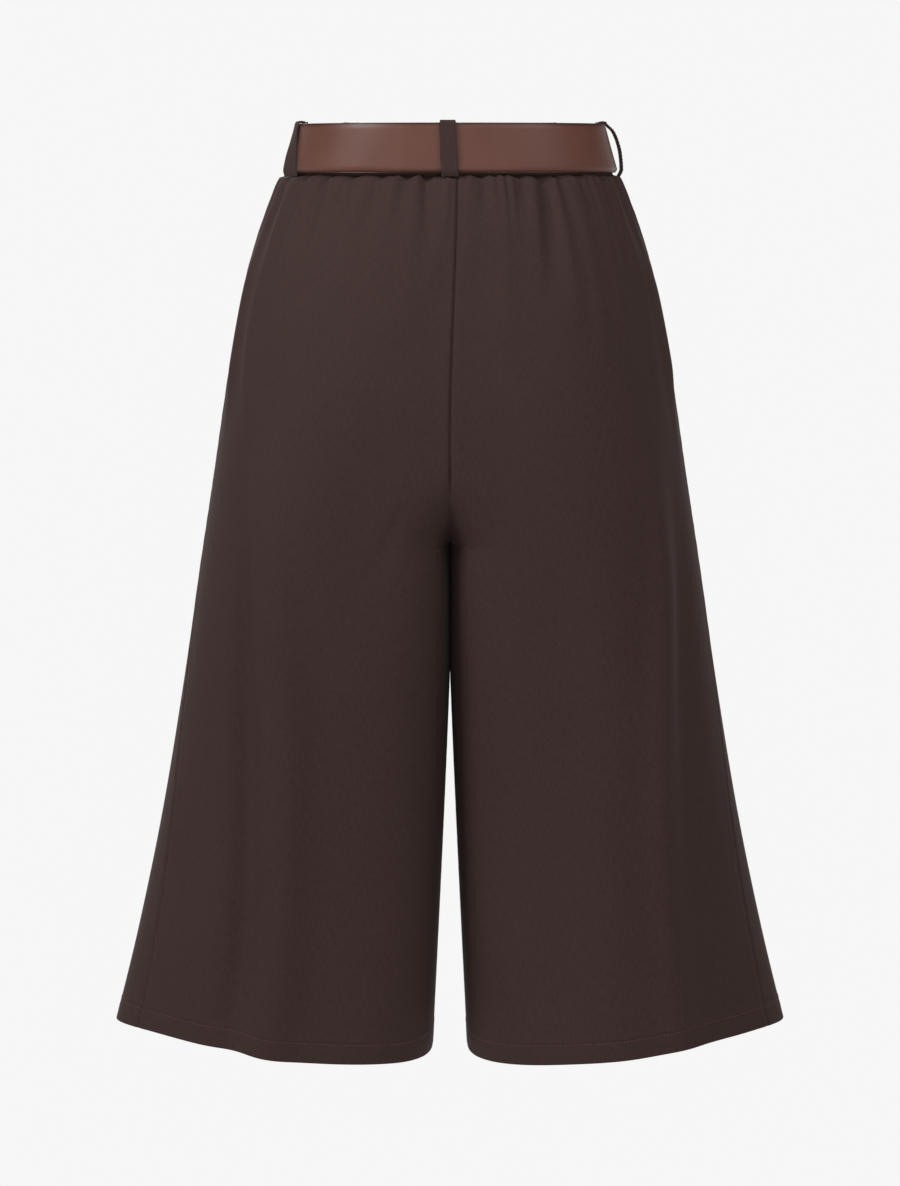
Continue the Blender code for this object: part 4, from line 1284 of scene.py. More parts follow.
# ---- the waist ring ----------------------------------------------------------------
class WaistRing:
    """The cone that the waistband, belt and loops follow.

    A place q runs round it: 0 is centre back, 1 the right side, 2 centre front and 3 the left side.
    """

    ROUND = 4.0
    LOOK = 2e-3

    def __init__(self, shape: HalfShape) -> None:
        """Keep the left half's shape, which the ring mirrors."""
        self.shape = shape
        self.front_length = float(shape.length(np.array([1.5]), np.array([0.0]))[0])
        self.back_length = float(shape.length(np.array([0.5]), np.array([0.0]))[0])

    def _spot(self, q: Array, z: Array) -> Array:
        """Read the cone.

        Args:
            q: places round the ring.
            z: heights, in metres.

        Returns:
            Points, with one more axis of length 3.
        """
        q = np.mod(q, self.ROUND)
        w = np.where(q <= 2.0, q, self.ROUND - q)
        sign = np.where(q <= 2.0, -1.0, 1.0)
        low = self.shape.base(w, np.full_like(w, WAIST_SEAM_Z))
        high = self.shape.base(w, np.full_like(w, RING_TOP_Z))
        share = (z - WAIST_SEAM_Z) / (RING_TOP_Z - WAIST_SEAM_Z)
        spot = low + (high - low) * share[..., None]
        shift = WAIST_SHIFT + (TOP_SHIFT - WAIST_SHIFT) * np.maximum(share, 0.0)
        return np.stack([spot[..., 0] * sign + shift, spot[..., 1], z], axis=-1)

    def point(self, q: Array | float, z: Array | float, out: Array | float) -> Array:
        """Return points of the cone at height z, moved straight out.

        Args:
            q: places round the ring.
            z: heights, in metres.
            out: distances outwards, in metres.

        Returns:
            Points, with one more axis of length 3.
        """
        q, z, out = (np.array(a, dtype=float) for a in np.broadcast_arrays(q, z, out))
        middle = self._spot(q, z)
        along = self._spot(q + self.LOOK, z) - self._spot(q - self.LOOK, z)
        outward = unit(np.stack([along[..., 1], -along[..., 0], np.zeros_like(q)], axis=-1))
        facing = np.sign(np.sum(outward[..., :2] * middle[..., :2], axis=-1, keepdims=True))
        return middle + out[..., None] * outward * facing

    def front_place(self, x: Array | float) -> Array | float:
        """Return the place at the distance x to the wearer's left of centre front."""
        return 2.0 + x / self.front_length


@dataclass
class Waistband:
    """The elasticated, gathered back half of the waistband and its plain front half."""

    ring: WaistRing
    depth: float = 0.0013
    edge_round: float = 0.0011
    # how uneven the gathers are: two drifts with their wave numbers, and a ripple down the band
    drifts: tuple = ((0.10, 9.0, 0.0), (0.05, 23.0, 1.0))
    ripple: float = 0.18
    ripple_wave: float = 0.0045
    pressing: float = 0.00012
    pressing_wave: float = 0.006
    edge_rows: int = 6
    face_rows: int = 26
    steps_per_gather: int = 18
    front_steps: int = 221
    flat_back: tuple[float, float] = (0.400, 0.038)
    flat_front: tuple[float, float] = (0.335, 0.038)

    def _heights(self) -> Array:
        """Return the heights of the rows, close together at the folded top edge."""
        low, high = WAIST_SEAM_Z + SEAM_GAP, WAISTBAND_TOP_Z
        top = high - self.edge_round * (1.0 - np.cos(np.linspace(0.0, math.pi / 2, self.edge_rows)))
        return np.concatenate([top, np.linspace(top[-1], low, self.face_rows)[1:]])

    def _half(self, name: str, q: Array, gather: Callable[[Array, Array], Array],
              suiting: bpy.types.Material) -> bpy.types.Object:
        """Build and dress one half.

        Args:
            name: the half's solid.
            q: the places that it lies over.
            gather: how far out the cloth is drawn at places and heights.
            suiting: its finish.

        Returns:
            The half.
        """
        z = self._heights()[:, None] + np.zeros((1, len(q)))
        q = q[None, :] + np.zeros_like(z)
        below = np.clip((WAISTBAND_TOP_Z - z) / self.edge_round, 0.0, 1.0)
        tuck = WAISTBAND_CLOTH / 2 * (1.0 - np.sqrt(np.clip(1.0 - (1.0 - below) ** 2, 0.004, 1.0)))
        pull = gather(q, z)
        outer = self.ring.point(q, z, pull - tuck)
        inner = self.ring.point(q, z, pull - WAISTBAND_CLOTH + tuck)
        return place_piece(cloth_wall(f"cloth_{name}", outer, inner), suiting, "suiting", name)

    def build(self, wardrobe: Wardrobe) -> None:
        """Build and dress both halves.

        Args:
            wardrobe: the finishes.
        """
        gap = SEAM_GAP / 2 / self.ring.back_length

        def elastic(q: Array, z: Array) -> Array:
            """Draw the cloth in between the gathers, a little less evenly than a cosine."""
            drift = sum(size * np.sin(waves * q + turn) for size, waves, turn in self.drifts)
            wave = 0.5 - 0.5 * np.cos(math.pi * BAND_WAVES * (q + 1.0) + 2.0 * drift)
            return -self.depth * wave * (1.0 + self.ripple * np.sin(z / self.ripple_wave + 5.0 * q))

        def plain(q: Array, z: Array) -> Array:
            """Leave the front nearly smooth, with faint pressing marks."""
            return -self.pressing * (1.0 + np.sin(31.0 * q + z / self.pressing_wave))

        back_places = np.linspace(-1.0 + gap, 1.0 - gap, BAND_WAVES * self.steps_per_gather + 1)
        back = self._half("waistband_back", back_places, elastic, wardrobe.suiting)
        front_places = np.linspace(1.0 + gap, 3.0 - gap, self.front_steps)
        front = self._half("waistband_front", front_places, plain, wardrobe.suiting)


@dataclass
class Belt:
    """The leather strap, from under the buckle round the back to its free rounded end."""

    ring: WaistRing
    start: float = 0.0205
    tip_end: float = 0.114
    tip_round: float = 0.020
    # how far the free end lies outside the belt's own ring, by distance from centre front
    tip_lift: tuple = ((-0.020, 0.0), (0.012, 0.0070), (0.028, 0.0070), (0.042, TIP_LAYER),
                       (0.120, TIP_LAYER))
    tip_power: float = 2.4
    tip_sweep: float = 1.53
    around_steps: int = 420
    tip_steps: int = 100
    round_steps: int = 22
    face_steps: int = 17
    edge_round: float = 0.0007
    paint_depth: float = 0.0008
    paint_fade: float = 0.0006
    sway: float = 0.00025
    sway_waves: float = 7.0
    # the holes by number from hole_start; the prong's slot is number 0
    holes: tuple = (-1, 0, 1, 2)
    hole_start: float = 0.0085
    hole_pitch: float = 0.025
    hole_size: float = 0.0046
    hole_depth: float = 0.0034
    slot_length: float = 0.0220
    slot_depth: float = 0.0120

    def lift(self, x: Array) -> Array:
        """Work out how far the free end lies outside the ring.

        Args:
            x: distances to the wearer's left of centre front.

        Returns:
            Distances outwards, in metres.
        """
        result = np.where(x < self.tip_lift[0][0], 0.0, self.tip_lift[-1][1])
        for (x_a, lift_a), (x_b, lift_b) in zip(self.tip_lift, self.tip_lift[1:]):
            inside = (x >= x_a) & (x <= x_b)
            rise = smoothstep((x - x_a) / (x_b - x_a))
            result = np.where(inside, lift_a + (lift_b - lift_a) * rise, result)
        return result

    def _section(self) -> tuple[Array, Array]:
        """Draw the strap's cross-section, with rounded edges.

        Returns:
            Shares of the half width, -1 to 1, and distances out.
        """
        half, thick, bend = BELT_WIDTH / 2, BELT_LEATHER, self.edge_round
        arc = np.linspace(0.0, math.pi / 2, 4)
        face = np.linspace(-1.0, 1.0, self.face_steps)[1:-1] * (half - bend)
        z, out = [], []
        corners = (half, thick), (half, 0.0), (-half, 0.0), (-half, thick)
        for start, (height, depth) in enumerate(corners):
            middle_z = height - math.copysign(bend, height)
            middle_out = depth - bend if depth > 0 else depth + bend
            turn = math.pi / 2 * start + arc
            z.extend(middle_z + bend * np.cos(turn))
            out.extend(middle_out + bend * np.sin(turn))
            if start == 1:
                z.extend(face[::-1])
                out.extend(np.zeros(len(face)))
            if start == 3:
                z.extend(face)
                out.extend(np.full(len(face), thick))
        return np.array(z) / half, np.array(out)

    def build(self, wardrobe: Wardrobe) -> bpy.types.Object:
        """Build the strap, punch its holes and dress it.

        Args:
            wardrobe: the finishes.

        Returns:
            The strap.
        """
        ring = self.ring
        front = ring.front_place(self.tip_lift[0][0])
        round_from = self.tip_end - self.tip_round
        sweep = np.sin(np.linspace(0.0, self.tip_sweep, self.round_steps))
        around = np.concatenate([
            np.linspace(ring.front_place(self.start) - ring.ROUND, front, self.around_steps),
            ring.front_place(np.linspace(self.tip_lift[0][0], round_from, self.tip_steps))[1:],
            ring.front_place(round_from + self.tip_round * sweep)[1:],
        ])
        x = (around - 2.0) * ring.front_length
        lift = np.where(around >= front, self.lift(x), 0.0)
        past = np.clip((x - round_from) / self.tip_round, 0.0, 1.0) * (around > 2.0)
        narrow = (1.0 - past ** self.tip_power) ** (1 / self.tip_power)
        share, out = self._section()
        z = BELT_MID_Z + BELT_WIDTH / 2 * narrow[:, None] * share[None, :]
        q = around[:, None] + np.zeros_like(z)
        sway = self.sway * np.sin(self.sway_waves * q) * share[None, :] ** 2
        points = ring.point(q, z, BELT_OVER_BAND + lift[:, None] + out[None, :] + sway)
        rows, columns = z.shape
        index = np.arange(rows * columns).reshape(rows, columns)
        a, b = index[:-1], index[1:]
        d, c = np.roll(a, -1, axis=1), np.roll(b, -1, axis=1)
        faces = np.stack([a, b, c, d], axis=-1).reshape(-1, 4).tolist()
        faces.append(index[0].tolist())
        faces.append(index[-1, ::-1].tolist())
        strap = new_piece("leather_belt_strap", points.reshape(-1, 3), faces)
        self._close(strap)
        self._punch(strap)
        edge = strap.data.attributes.new("edge", "FLOAT", "POINT")
        edge.data.foreach_set("value", self._paint_by_place(strap).astype(np.float32))
        return place_piece(strap, wardrobe.leather, "belt_leather", "belt_strap")

    @staticmethod
    def _close(strap: bpy.types.Object) -> None:
        """Turn all faces outwards and keep the cut ends sharp.

        Args:
            strap: the strap, with its ends closed.
        """
        form = bmesh.new()
        form.from_mesh(strap.data)
        bmesh.ops.recalc_face_normals(form, faces=form.faces)
        form.to_mesh(strap.data)
        form.free()
        strap.data.shade_smooth()
        strap.data.set_sharp_from_angle(angle=math.radians(48))

    def _paint_by_place(self, strap: bpy.types.Object) -> Array:
        """Return the edge paint of each point, 0 to 1, from its height on the strap."""
        co = np.zeros(len(strap.data.vertices) * 3)
        strap.data.vertices.foreach_get("co", co)
        painted_from = BELT_WIDTH / 2 - self.paint_depth
        return smoothstep((np.abs(co[2::3] - BELT_MID_Z) - painted_from) / self.paint_fade)

    def _punch(self, strap: bpy.types.Object) -> None:
        """Cut the prong's slot and the other holes.

        Args:
            strap: the strap that they go through.
        """
        for k in self.holes:
            x = self.hole_start + k * self.hole_pitch
            out = BELT_OVER_BAND + float(self.lift(np.array([x]))[0]) + BELT_LEATHER / 2
            spot = self.ring.point(self.ring.front_place(x), BELT_MID_Z, out)
            ahead = self.ring.point(self.ring.front_place(x + 0.001), BELT_MID_Z, out)
            slot, hole = (self.slot_length, self.slot_depth), (self.hole_size, self.hole_depth)
            long, deep = slot if k == 0 else hole
            bpy.ops.object.select_all(action="DESELECT")
            bpy.ops.mesh.primitive_cylinder_add(vertices=20, radius=0.5, depth=1.0, location=spot.tolist(),
                                                rotation=(math.pi / 2, 0.0, 0.0))
            cutter = bpy.context.view_layer.objects.active
            cutter.scale = (long, self.hole_size, deep)
            cutter.rotation_euler.z = math.atan2(ahead[1] - spot[1], ahead[0] - spot[0])
            cut = strap.modifiers.new("hole", "BOOLEAN")
            cut.object = cutter
            cut.operation = "DIFFERENCE"
            select_only(strap)
            bpy.ops.object.modifier_apply(modifier=cut.name)
            bpy.data.objects.remove(cutter, do_unlink=True)


@dataclass
class BeltLoop:
    """A narrow folded strip of the suiting, stitched along both edges, that holds the belt."""

    ring: WaistRing
    name: str
    place: float
    belt: float
    bow: float
    lean: float
    turn: float
    clear: float = 0.0006
    shoulder: float = 0.0018
    end_z: float = -0.0203
    # the loop's last stretch runs in under the belt: from this share of its fall, by this much
    tuck_from: float = 0.95
    tuck: float = 0.0012
    # the way over the waistband, as (distance out, drop below the top), and on from the front stretch
    over_band: tuple = ((-0.0018, 0.0007), (0.0, 0.0006), (0.0013, 0.0))
    to_front: tuple = ((-0.0014, 0.0), (-0.0003, 0.0005))
    bow_place: float = 0.75
    bow_fullness: float = 0.7
    fall_steps: int = 11
    rows: int = 72
    face_columns: int = 19
    edge_columns: tuple = (0.95, 0.985, 1.0)
    edge_stitch: float = 0.0020
    stitch: Stitch = Stitch(length=0.0019, pitch=0.0026, thickness=0.00032)
    stitch_dent: float = 0.00016
    dent_reach: float = 0.0007
    ripple: float = 0.00007
    ripple_wave: float = 0.0017
    ripple_reach: float = 0.0014
    pinch: float = 0.035
    pinch_wave: float = 0.006
    flat: tuple[float, float] = (LOOP_WIDTH, 0.0520)

    def _route(self) -> Array:
        """Lay out the loop's way from behind the waistband's top, over it, to the waist seam.

        Returns:
            Points as (distance out, height).
        """
        top = BELT_MID_Z + BELT_WIDTH / 2 + SEAM_GAP + LOOP_CLOTH / 2
        near = BELT_OVER_BAND + self.belt + LOOP_CLOTH / 2 + self.clear
        start = [(out, top - drop) for out, drop in self.over_band]
        start += [(near + out, top - drop) for out, drop in self.to_front]
        t = np.linspace(0.0, 1.0, self.fall_steps)
        swell = np.maximum(np.sin(math.pi * t ** self.bow_place), 0.0) ** self.bow_fullness
        bulge = (self.bow - self.clear) * swell
        fall_from = top - self.shoulder
        tucked = np.where(t > self.tuck_from, self.tuck, 0.0)
        fall = np.column_stack([near + bulge - tucked, fall_from + (self.end_z - fall_from) * t])
        return np.vstack([np.array(start), fall])

    @staticmethod
    def _smooth(route: Array, count: int) -> Array:
        """Draw a soft curve through a route.

        Args:
            route: its points.
            count: how many points to give.

        Returns:
            Even points on the curve.
        """
        padded = np.vstack([2 * route[0] - route[1], route, 2 * route[-1] - route[-2]])
        fine = []
        for p0, p1, p2, p3 in zip(padded, padded[1:], padded[2:], padded[3:]):
            for t in np.linspace(0.0, 1.0, 8, endpoint=False):
                fine.append(0.5 * (2 * p1 + (p2 - p0) * t + (2 * p0 - 5 * p1 + 4 * p2 - p3) * t ** 2
                                   + (3 * p1 - p0 - 3 * p2 + p3) * t ** 3))
        fine = np.array([*fine, route[-1]])
        run = run_along(fine)
        return read_line(np.linspace(0.0, run[-1], count), run, fine)

    def _grids(self) -> list[Array]:
        """Work out the loop's two faces.

        Returns:
            The points of each, along the loop by across it.
        """
        route = self._smooth(self._route(), self.rows)
        step = unit(np.gradient(route, axis=0))
        side = np.column_stack([step[:, 1], -step[:, 0]])
        edge_columns = np.array(self.edge_columns)
        face_columns = np.linspace(-0.90, 0.90, self.face_columns)
        across = np.concatenate([-edge_columns[::-1], face_columns, edge_columns])
        from_edge = (1.0 - np.abs(across)) * LOOP_WIDTH / 2
        edge = np.clip(from_edge / (LOOP_CLOTH / 2), 0.0, 1.0)
        rounding = LOOP_CLOTH / 2 * np.sqrt(np.clip(1.0 - (1.0 - edge) ** 2, 0.03, 1.0))
        from_stitches = from_edge - self.edge_stitch
        dent = self.stitch_dent * bell(from_stitches, self.dent_reach)
        rise = (route[:, 1] - BELT_MID_Z) / BELT_WIDTH
        shift = self.lean * rise / self.ring.back_length
        run = run_along(route)
        pinch = 1.0 - self.pinch * np.sin(run / self.pinch_wave + 1.0) ** 2
        spread = across[None, :] * pinch[:, None] * LOOP_WIDTH / 2 / self.ring.back_length
        q = self.place + shift[:, None] + spread
        opened = self.turn * smoothstep(0.5 - rise)[:, None] * (1.0 - across) / 2
        waves = np.sin(run / self.ripple_wave)
        ripple = self.ripple * np.outer(waves, bell(from_stitches, self.ripple_reach))
        grids = []
        for face in (1.0, -1.0):
            reach = face * (rounding - (dent if face > 0 else 0.0))
            distance = route[:, None, :] + (reach[None, :] + ripple)[..., None] * side[:, None, :]
            grids.append(self.ring.point(q, distance[..., 1], distance[..., 0] + opened))
        return grids

    def build(self, wardrobe: Wardrobe) -> bpy.types.Object:
        """Args:
            wardrobe: the finishes.

        Returns:
            The loop.
        """
        middle = self.rows * 2 // 3, self.face_columns // 2 + len(self.edge_columns)
        inner, outer = sorted(self._grids(), key=lambda grid: float(np.linalg.norm(grid[middle][:2])))
        wall = cloth_wall(f"cloth_{self.name}", outer, inner)
        loop = place_piece(wall, wardrobe.suiting, "suiting", self.name)
        normals = unit(outer - inner)
        from_edge = run_along(outer[middle[0]])
        lines = []
        for target in (self.edge_stitch, from_edge[-1] - self.edge_stitch):
            column = int(np.argmin(np.abs(from_edge - target)))
            lines.append((outer[6:-2, column], normals[6:-2, column]))
        stitches = self.stitch.sew(f"stitches_{self.name}", lines)
        place_piece(stitches, wardrobe.seam_thread, "suiting")
        return loop


@dataclass
class Buckle:
    """The front fastening: a satin brass frame, its prong, and the leather keeper beside it."""

    ring: WaistRing
    half_width: float = 0.024
    side_bar: float = 0.0040
    top_bar: float = 0.0020
    depth: float = 0.0030
    corner: float = 0.0026
    softness: float = 0.0010
    prong_radius: float = 0.0011
    prong_tip: float = 0.62
    # the prong's line: place x, and how far in front of the bar's middle it runs, and the same for the
    # toe, measured from toe_front in front of the bar
    prong_line: tuple = ((0.0210, -0.0002), (0.0174, 0.0006), (0.0135, 0.0034), (0.0085, 0.0056),
                         (0.0020, 0.0066), (-0.0080, 0.0052))
    toe_line: tuple = ((-0.0190, 0.0004), (-0.0245, 0.0), (-0.0272, -0.0006))
    toe_front: float = 0.0016
    keeper_x: float = 0.0475
    keeper_width: float = 0.010
    keeper_wall: float = 0.0010
    keeper_clear: float = 0.0008
    keeper_slack: float = 0.0016
    keeper_corner: float = 0.0016
    keeper_softness: float = 0.0003
    keeper_paint: float = 0.15

    def build(self, wardrobe: Wardrobe) -> None:
        """Build and dress the three pieces.

        Args:
            wardrobe: the finishes.
        """
        place_piece(self._frame(), wardrobe.brass, "buckle_metal", "buckle_frame")
        place_piece(self._prong(), wardrobe.brass, "buckle_metal", "buckle_prong")
        place_piece(self._keeper(), wardrobe.leather, "belt_leather", "belt_keeper")

    def _bar_y(self, z: float) -> float:
        """Return how far forward the frame's middle lies at height z."""
        out = BELT_OVER_BAND + BELT_LEATHER + 2 * SEAM_GAP + self.depth / 2
        return float(self.ring.point(self.ring.front_place(self.half_width), z, out)[1])

    def _frame(self) -> bpy.types.Object:
        """Model the frame: a rounded plate, inset, opened, thickened and softened.

        Returns:
            The frame.
        """
        half_x = self.half_width + self.side_bar / 2
        half_z = BELT_WIDTH / 2 + SEAM_GAP + self.top_bar
        bpy.ops.object.select_all(action="DESELECT")
        bpy.ops.mesh.primitive_plane_add(size=2.0)
        plate = bpy.context.view_layer.objects.active
        plate.name = "brass_buckle_frame"
        bpy.ops.object.mode_set(mode="EDIT")
        bpy.ops.transform.resize(value=(half_x, half_z, 1.0), center_override=(0.0, 0.0, 0.0))
        bpy.ops.mesh.bevel(offset=self.corner, segments=8, affect="VERTICES")
        bpy.ops.mesh.select_all(action="SELECT")
        bpy.ops.mesh.inset(thickness=self.top_bar, depth=0.0)
        opening = (half_x - self.side_bar) / (half_x - self.top_bar)
        bpy.ops.transform.resize(value=(opening, 1.0, 1.0), center_override=(0.0, 0.0, 0.0))
        bpy.ops.mesh.delete(type="FACE")
        bpy.ops.object.mode_set(mode="OBJECT")
        low, high = self._bar_y(BELT_MID_Z - half_z), self._bar_y(BELT_MID_Z + half_z)
        plate.rotation_euler = (math.pi / 2 + math.atan2(high - low, 2.0 * half_z), 0.0, 0.0)
        plate.location = (0.0, (low + high) / 2, BELT_MID_Z)
        bpy.ops.object.transform_apply(location=True, rotation=True, scale=True)
        self._thicken(plate, self.depth, self.softness, 4, 35.0)
        return plate

    @staticmethod
    def _thicken(piece: bpy.types.Object, wall: float, softness: float, segments: int,
                 sharp: float) -> None:
        """Give the active open piece its wall, soften its edges and shade it.

        Args:
            piece: a surface of one layer.
            wall: its thickness, in metres.
            softness: the width of the softened edges, in metres.
            segments: how many faces turn round an edge.
            sharp: the angle in degrees past which an edge stays sharp.
        """
        thick = piece.modifiers.new("thickness", "SOLIDIFY")
        thick.thickness = wall
        thick.offset = 0.0
        soft = piece.modifiers.new("soft_edges", "BEVEL")
        soft.width = softness
        soft.segments = segments
        for name in (thick.name, soft.name):
            bpy.ops.object.modifier_apply(modifier=name)
        bpy.ops.object.shade_smooth_by_angle(angle=math.radians(sharp))

    def _prong(self) -> bpy.types.Object:
        """Model the prong as a drawn rod that humps over the strap and rests on the far bar.

        Returns:
            The prong.
        """
        bar = self._bar_y(BELT_MID_Z)
        toe = bar - self.depth / 2 - self.toe_front
        line = [(x, bar - front) for x, front in self.prong_line]
        line += [(x, toe - front) for x, front in self.toe_line]
        curve = bpy.data.curves.new("brass_buckle_prong", "CURVE")
        curve.dimensions = "3D"
        curve.bevel_depth = self.prong_radius
        curve.bevel_resolution = 5
        curve.use_fill_caps = True
        curve.resolution_u = 10
        spline = curve.splines.new("NURBS")
        spline.points.add(len(line) - 1)
        for k, (point, (x, y)) in enumerate(zip(spline.points, line)):
            point.co = (x, y, BELT_MID_Z, 1.0)
            point.radius = self.prong_tip if k == len(line) - 1 else 1.0
        spline.use_endpoint_u = True
        spline.order_u = 3
        rod = bpy.data.objects.new("brass_buckle_prong", curve)
        bpy.context.scene.collection.objects.link(rod)
        select_only(rod)
        bpy.ops.object.convert(target="MESH")
        rod = bpy.context.view_layer.objects.active
        bpy.ops.object.shade_smooth_by_angle(angle=math.radians(40))
        return rod

    def _keeper(self) -> bpy.types.Object:
        """Model the keeper: a flat leather ring round both layers of the strap.

        Returns:
            The keeper.
        """
        outside = BELT_OVER_BAND + BELT_LEATHER + TIP_LAYER + self.keeper_clear
        inside = self.keeper_clear
        place = self.ring.front_place(self.keeper_x)
        near = self.ring.point(place, BELT_MID_Z, inside)
        far = self.ring.point(place, BELT_MID_Z, outside)
        ahead = self.ring.point(place + 1e-3, BELT_MID_Z, inside)
        tall = BELT_WIDTH + self.keeper_slack
        bpy.ops.object.select_all(action="DESELECT")
        bpy.ops.mesh.primitive_cube_add(size=1.0)
        band = bpy.context.view_layer.objects.active
        band.name = "leather_belt_keeper"
        bpy.ops.object.mode_set(mode="EDIT")
        bpy.ops.transform.resize(value=(self.keeper_width, outside - inside, tall),
                                 center_override=(0.0, 0.0, 0.0))
        bpy.ops.mesh.select_all(action="DESELECT")
        form = bmesh.from_edit_mesh(band.data)
        for face in form.faces:
            face.select_set(abs(face.normal.x) > 0.9)
        bmesh.update_edit_mesh(band.data)
        bpy.ops.mesh.delete(type="ONLY_FACE")
        bpy.ops.mesh.select_all(action="DESELECT")
        form = bmesh.from_edit_mesh(band.data)
        for edge in form.edges:
            if abs(edge.verts[0].co.x - edge.verts[1].co.x) > self.keeper_width / 2:
                edge.select_set(True)
        bmesh.update_edit_mesh(band.data)
        bpy.ops.mesh.bevel(offset=self.keeper_corner, segments=5, affect="EDGES")
        bpy.ops.object.mode_set(mode="OBJECT")
        middle = (near + far) / 2
        lean = self.ring.point(place, BELT_MID_Z + tall / 2, inside) - near
        tilt = math.atan2(float(np.hypot(lean[0], lean[1])), float(lean[2]))
        band.rotation_euler = (-tilt, 0.0, math.atan2(ahead[1] - near[1], ahead[0] - near[0]))
        band.location = middle.tolist()
        bpy.ops.object.transform_apply(location=True, rotation=True, scale=True)
        self._thicken(band, self.keeper_wall, self.keeper_softness, 3, 40.0)
        paint = band.data.attributes.new("edge", "FLOAT", "POINT")
        amount = np.full(len(band.data.vertices), self.keeper_paint, dtype=np.float32)
        paint.data.foreach_set("value", amount)
        return band


@dataclass
class PocketBag:
    """The flat bag behind a side-seam mouth, lying inside the front panel."""

    side: Side
    shape: HalfShape
    top_z: float = -0.068
    drop: float = 0.215
    clear: float = 0.0009
    thickness: float = 0.0016
    rows: int = 61
    columns: int = 37
    # the bag starts just behind the side seam; its reach is the least one, and what its belly adds
    start_place: float = 0.955
    reach: tuple[float, float] = (0.20, 0.28)
    belly: tuple[float, float] = (0.12, 0.76)
    flat: tuple[float, float] = (0.105, 0.220)

    def build(self, wardrobe: Wardrobe) -> bpy.types.Object:
        """Args:
            wardrobe: the finishes.

        Returns:
            The bag.
        """
        even_rows, even_columns = (np.linspace(0.0, 1.0, n) for n in (self.rows, self.columns))
        t, share = np.meshgrid(even_rows, even_columns, indexing="ij")
        z = self.top_z - self.drop * t
        wide = np.sin(math.pi * (self.belly[0] + self.belly[1] * t))
        w = self.start_place + (self.reach[0] + self.reach[1] * wide) * share
        points = self.shape.surface(w, z)
        outward = points[self.rows // 2, self.columns // 2] * np.array([1.0, 1.0, 0.0])
        normals = grid_normals(points, outward)
        outer = points - (CLOTH + self.clear) * normals
        inner = outer - self.thickness * normals
        name = f"pocket_bag_{self.side.value}"
        wall = cloth_wall(f"cloth_{name}", outer, inner)
        bag = place_piece(wall, wardrobe.suiting, "suiting", name)
        return bag


# ---- the studio --------------------------------------------------------------------
@dataclass(frozen=True)
class Softbox:
    """A soft rectangular light that points at the garment's middle."""

    name: str
    place: tuple[float, float, float]
    size: tuple[float, float]
    watts: float
    aim_z: float = -0.30

    def hang(self) -> None:
        """Add the light to the scene."""
        light = bpy.data.lights.new(self.name, "AREA")
        light.shape = "RECTANGLE"
        light.size, light.size_y = self.size
        light.energy = self.watts
        box = bpy.data.objects.new(self.name, light)
        box.location = self.place
        aim = Vector((0.0, 0.0, self.aim_z)) - Vector(self.place)
        box.rotation_euler = aim.to_track_quat("-Z", "Y").to_euler()
        bpy.context.scene.collection.objects.link(box)


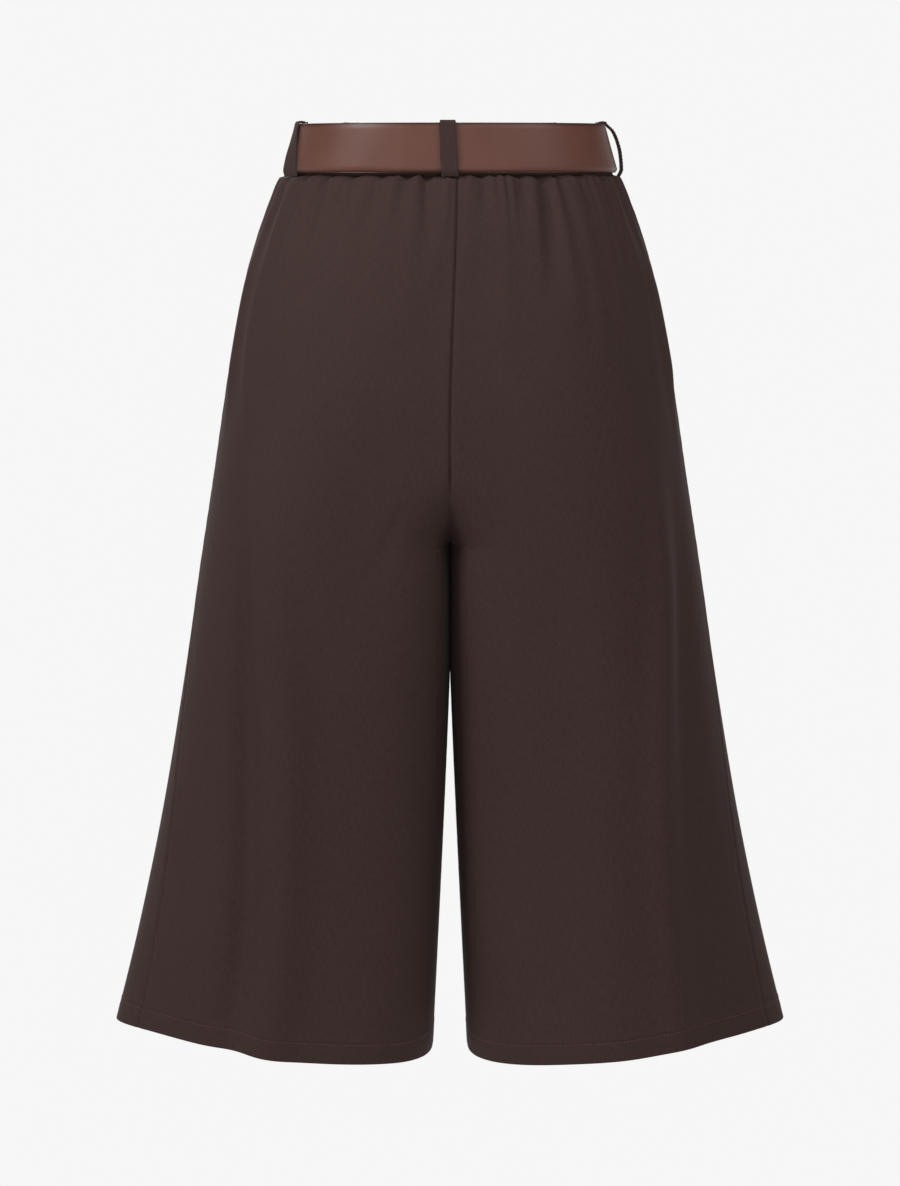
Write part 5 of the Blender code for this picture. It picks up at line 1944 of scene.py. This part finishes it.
@dataclass
class Studio:
    """The pale floor, the soft light and the camera at the photograph's angle."""

    camera_distance: float = 3.0
    camera_z: float = -0.018
    camera_tilt: float = 6.05
    lens: float = 120.3
    sensor: float = 36.0
    floor_z: float = -1.05
    floor_reach: float = 0.90
    horizon: float = 0.925
    room: float = 0.09
    # the pale band round the horizon: where it starts, is full, is still full and ends, as a look's Z
    band: tuple[float, float, float, float] = (-0.42, -0.29, 0.07, 0.20)
    # the band is dimmer at the garment's two sides: from and to these |Y| of a look, and how dim
    sides: tuple[float, float] = (0.62, 0.92)
    side_light: float = 0.50
    softboxes: tuple[Softbox, ...] = (
        Softbox("key", (1.55, 0.98, 1.10), (0.8, 0.8), 23.0),
        Softbox("fill", (-1.50, 1.10, 1.15), (0.8, 0.8), 8.0),
        Softbox("overhead", (-0.45, 1.50, 1.55), (0.9, 0.7), 11.0),
        Softbox("front", (0.4, -2.2, 1.6), (1.6, 1.0), 34.0),
    )

    def build(self) -> None:
        """Set up the camera, lights and floor."""
        self._camera()
        self._floor()
        self._world()
        for box in self.softboxes:
            box.hang()

    def _camera(self) -> None:
        """Place the camera behind the garment."""
        lens = bpy.data.cameras.new("camera")
        lens.sensor_fit = "VERTICAL"
        lens.sensor_height = self.sensor
        lens.lens = self.lens
        camera = bpy.data.objects.new("camera", lens)
        camera.location = (0.0, self.camera_distance, self.camera_z)
        camera.rotation_euler = (math.radians(90.0 - self.camera_tilt), 0.0, math.pi)
        bpy.context.scene.collection.objects.link(camera)
        bpy.context.scene.camera = camera

    def _floor(self) -> None:
        """Lay the pale round floor under the garment."""
        bpy.ops.object.select_all(action="DESELECT")
        bpy.ops.mesh.primitive_circle_add(vertices=96, radius=self.floor_reach, fill_type="NGON",
                                          location=(0.0, 0.0, self.floor_z))
        floor = bpy.context.view_layer.objects.active
        floor.name = "studio_floor"
        bpy.ops.object.transform_apply(location=True, rotation=True, scale=True)
        floor.data.materials.append(StudioFinish().build())

    def _world(self) -> None:
        """Put the garment in a dim room with a pale band of paper all round its horizon."""
        world = bpy.data.worlds.new("studio_room")
        world.use_nodes = True
        nodes, links = world.node_tree.nodes, world.node_tree.links
        place = nodes.new("ShaderNodeTexCoord")
        split = nodes.new("ShaderNodeSeparateXYZ")
        band = nodes.new("ShaderNodeValToRGB")
        height = nodes.new("ShaderNodeMapRange")
        height.inputs["From Min"].default_value = -1.0
        depth = nodes.new("ShaderNodeMath")
        depth.operation = "ABSOLUTE"
        ends = nodes.new("ShaderNodeMapRange")
        for name, value in (("From Min", self.sides[0]), ("From Max", self.sides[1]),
                            ("To Min", self.side_light), ("To Max", 1.0)):
            ends.inputs[name].default_value = value
        background = nodes["Background"]
        for source, target in (
            (place.outputs["Generated"], split.inputs["Vector"]),
            (split.outputs["Z"], height.inputs["Value"]),
            (height.outputs["Result"], band.inputs["Fac"]),
            (split.outputs["Y"], depth.inputs[0]),
            (depth.outputs["Value"], ends.inputs["Value"]),
            (ends.outputs["Result"], background.inputs["Strength"]),
            (band.outputs["Color"], background.inputs["Color"]),
        ):
            links.new(source, target)
        tones = (self.room, self.horizon, self.horizon, self.room)
        stops = [((1.0 + rise) / 2, (*grey(tone), 1.0)) for rise, tone in zip(self.band, tones)]
        elements = band.color_ramp.elements
        for element, (position, colour) in ((elements[1], stops[-1]), (elements[0], stops[0])):
            element.position, element.color = position, colour
        for position, colour in stops[1:-1]:
            elements.new(position).color = colour
        bpy.context.scene.world = world


# the loops: name, place on the ring, leather under it, bow, lean and turn, as BeltLoop has them
LOOPS = (
    ("belt_loop_back", -0.015, BELT_LEATHER, 0.0008, 0.0, 0.0),
    ("belt_loop_left_side", WaistRing.ROUND - 0.88, BELT_LEATHER, 0.0009, -0.0130, 0.0050),
    ("belt_loop_right_side", 1.060, BELT_LEATHER, 0.0056, 0.0, 0.0),
    ("belt_loop_left_front", WaistRing.ROUND - 1.53, BELT_LEATHER + TIP_LAYER, 0.0009, 0.0, 0.0),
    ("belt_loop_right_front", 1.53, BELT_LEATHER, 0.0008, 0.0, 0.0),
)
# the panels of a half: part, columns of its mesh, flat size and flat area
PANELS = (
    (Part.BACK, 166, (0.360, 0.690), 0.187),
    (Part.FRONT, 120, (0.390, 0.690), 0.203),
)


def main() -> None:
    """Build every sub-assembly in order and report each piece."""
    logging.basicConfig(level=logging.INFO, format="%(message)s")
    bpy.context.scene.view_settings.view_transform = "Standard"
    bpy.ops.object.select_all(action="DESELECT")
    Studio().build()
    wardrobe = Wardrobe()
    shapes = {side: HalfShape(side) for side in Side}
    ring = WaistRing(shapes[Side.LEFT])
    for side in Side:
        for part, columns, flat, flat_area in PANELS:
            Panel(side, part, shapes[side], ring, columns, flat, flat_area).build(wardrobe)
        PocketBag(side, shapes[side]).build(wardrobe)
    Waistband(ring).build(wardrobe)
    Belt(ring).build(wardrobe)
    for loop in LOOPS:
        BeltLoop(ring, *loop).build(wardrobe)
    Buckle(ring).build(wardrobe)


if __name__ == "__main__":
    main()
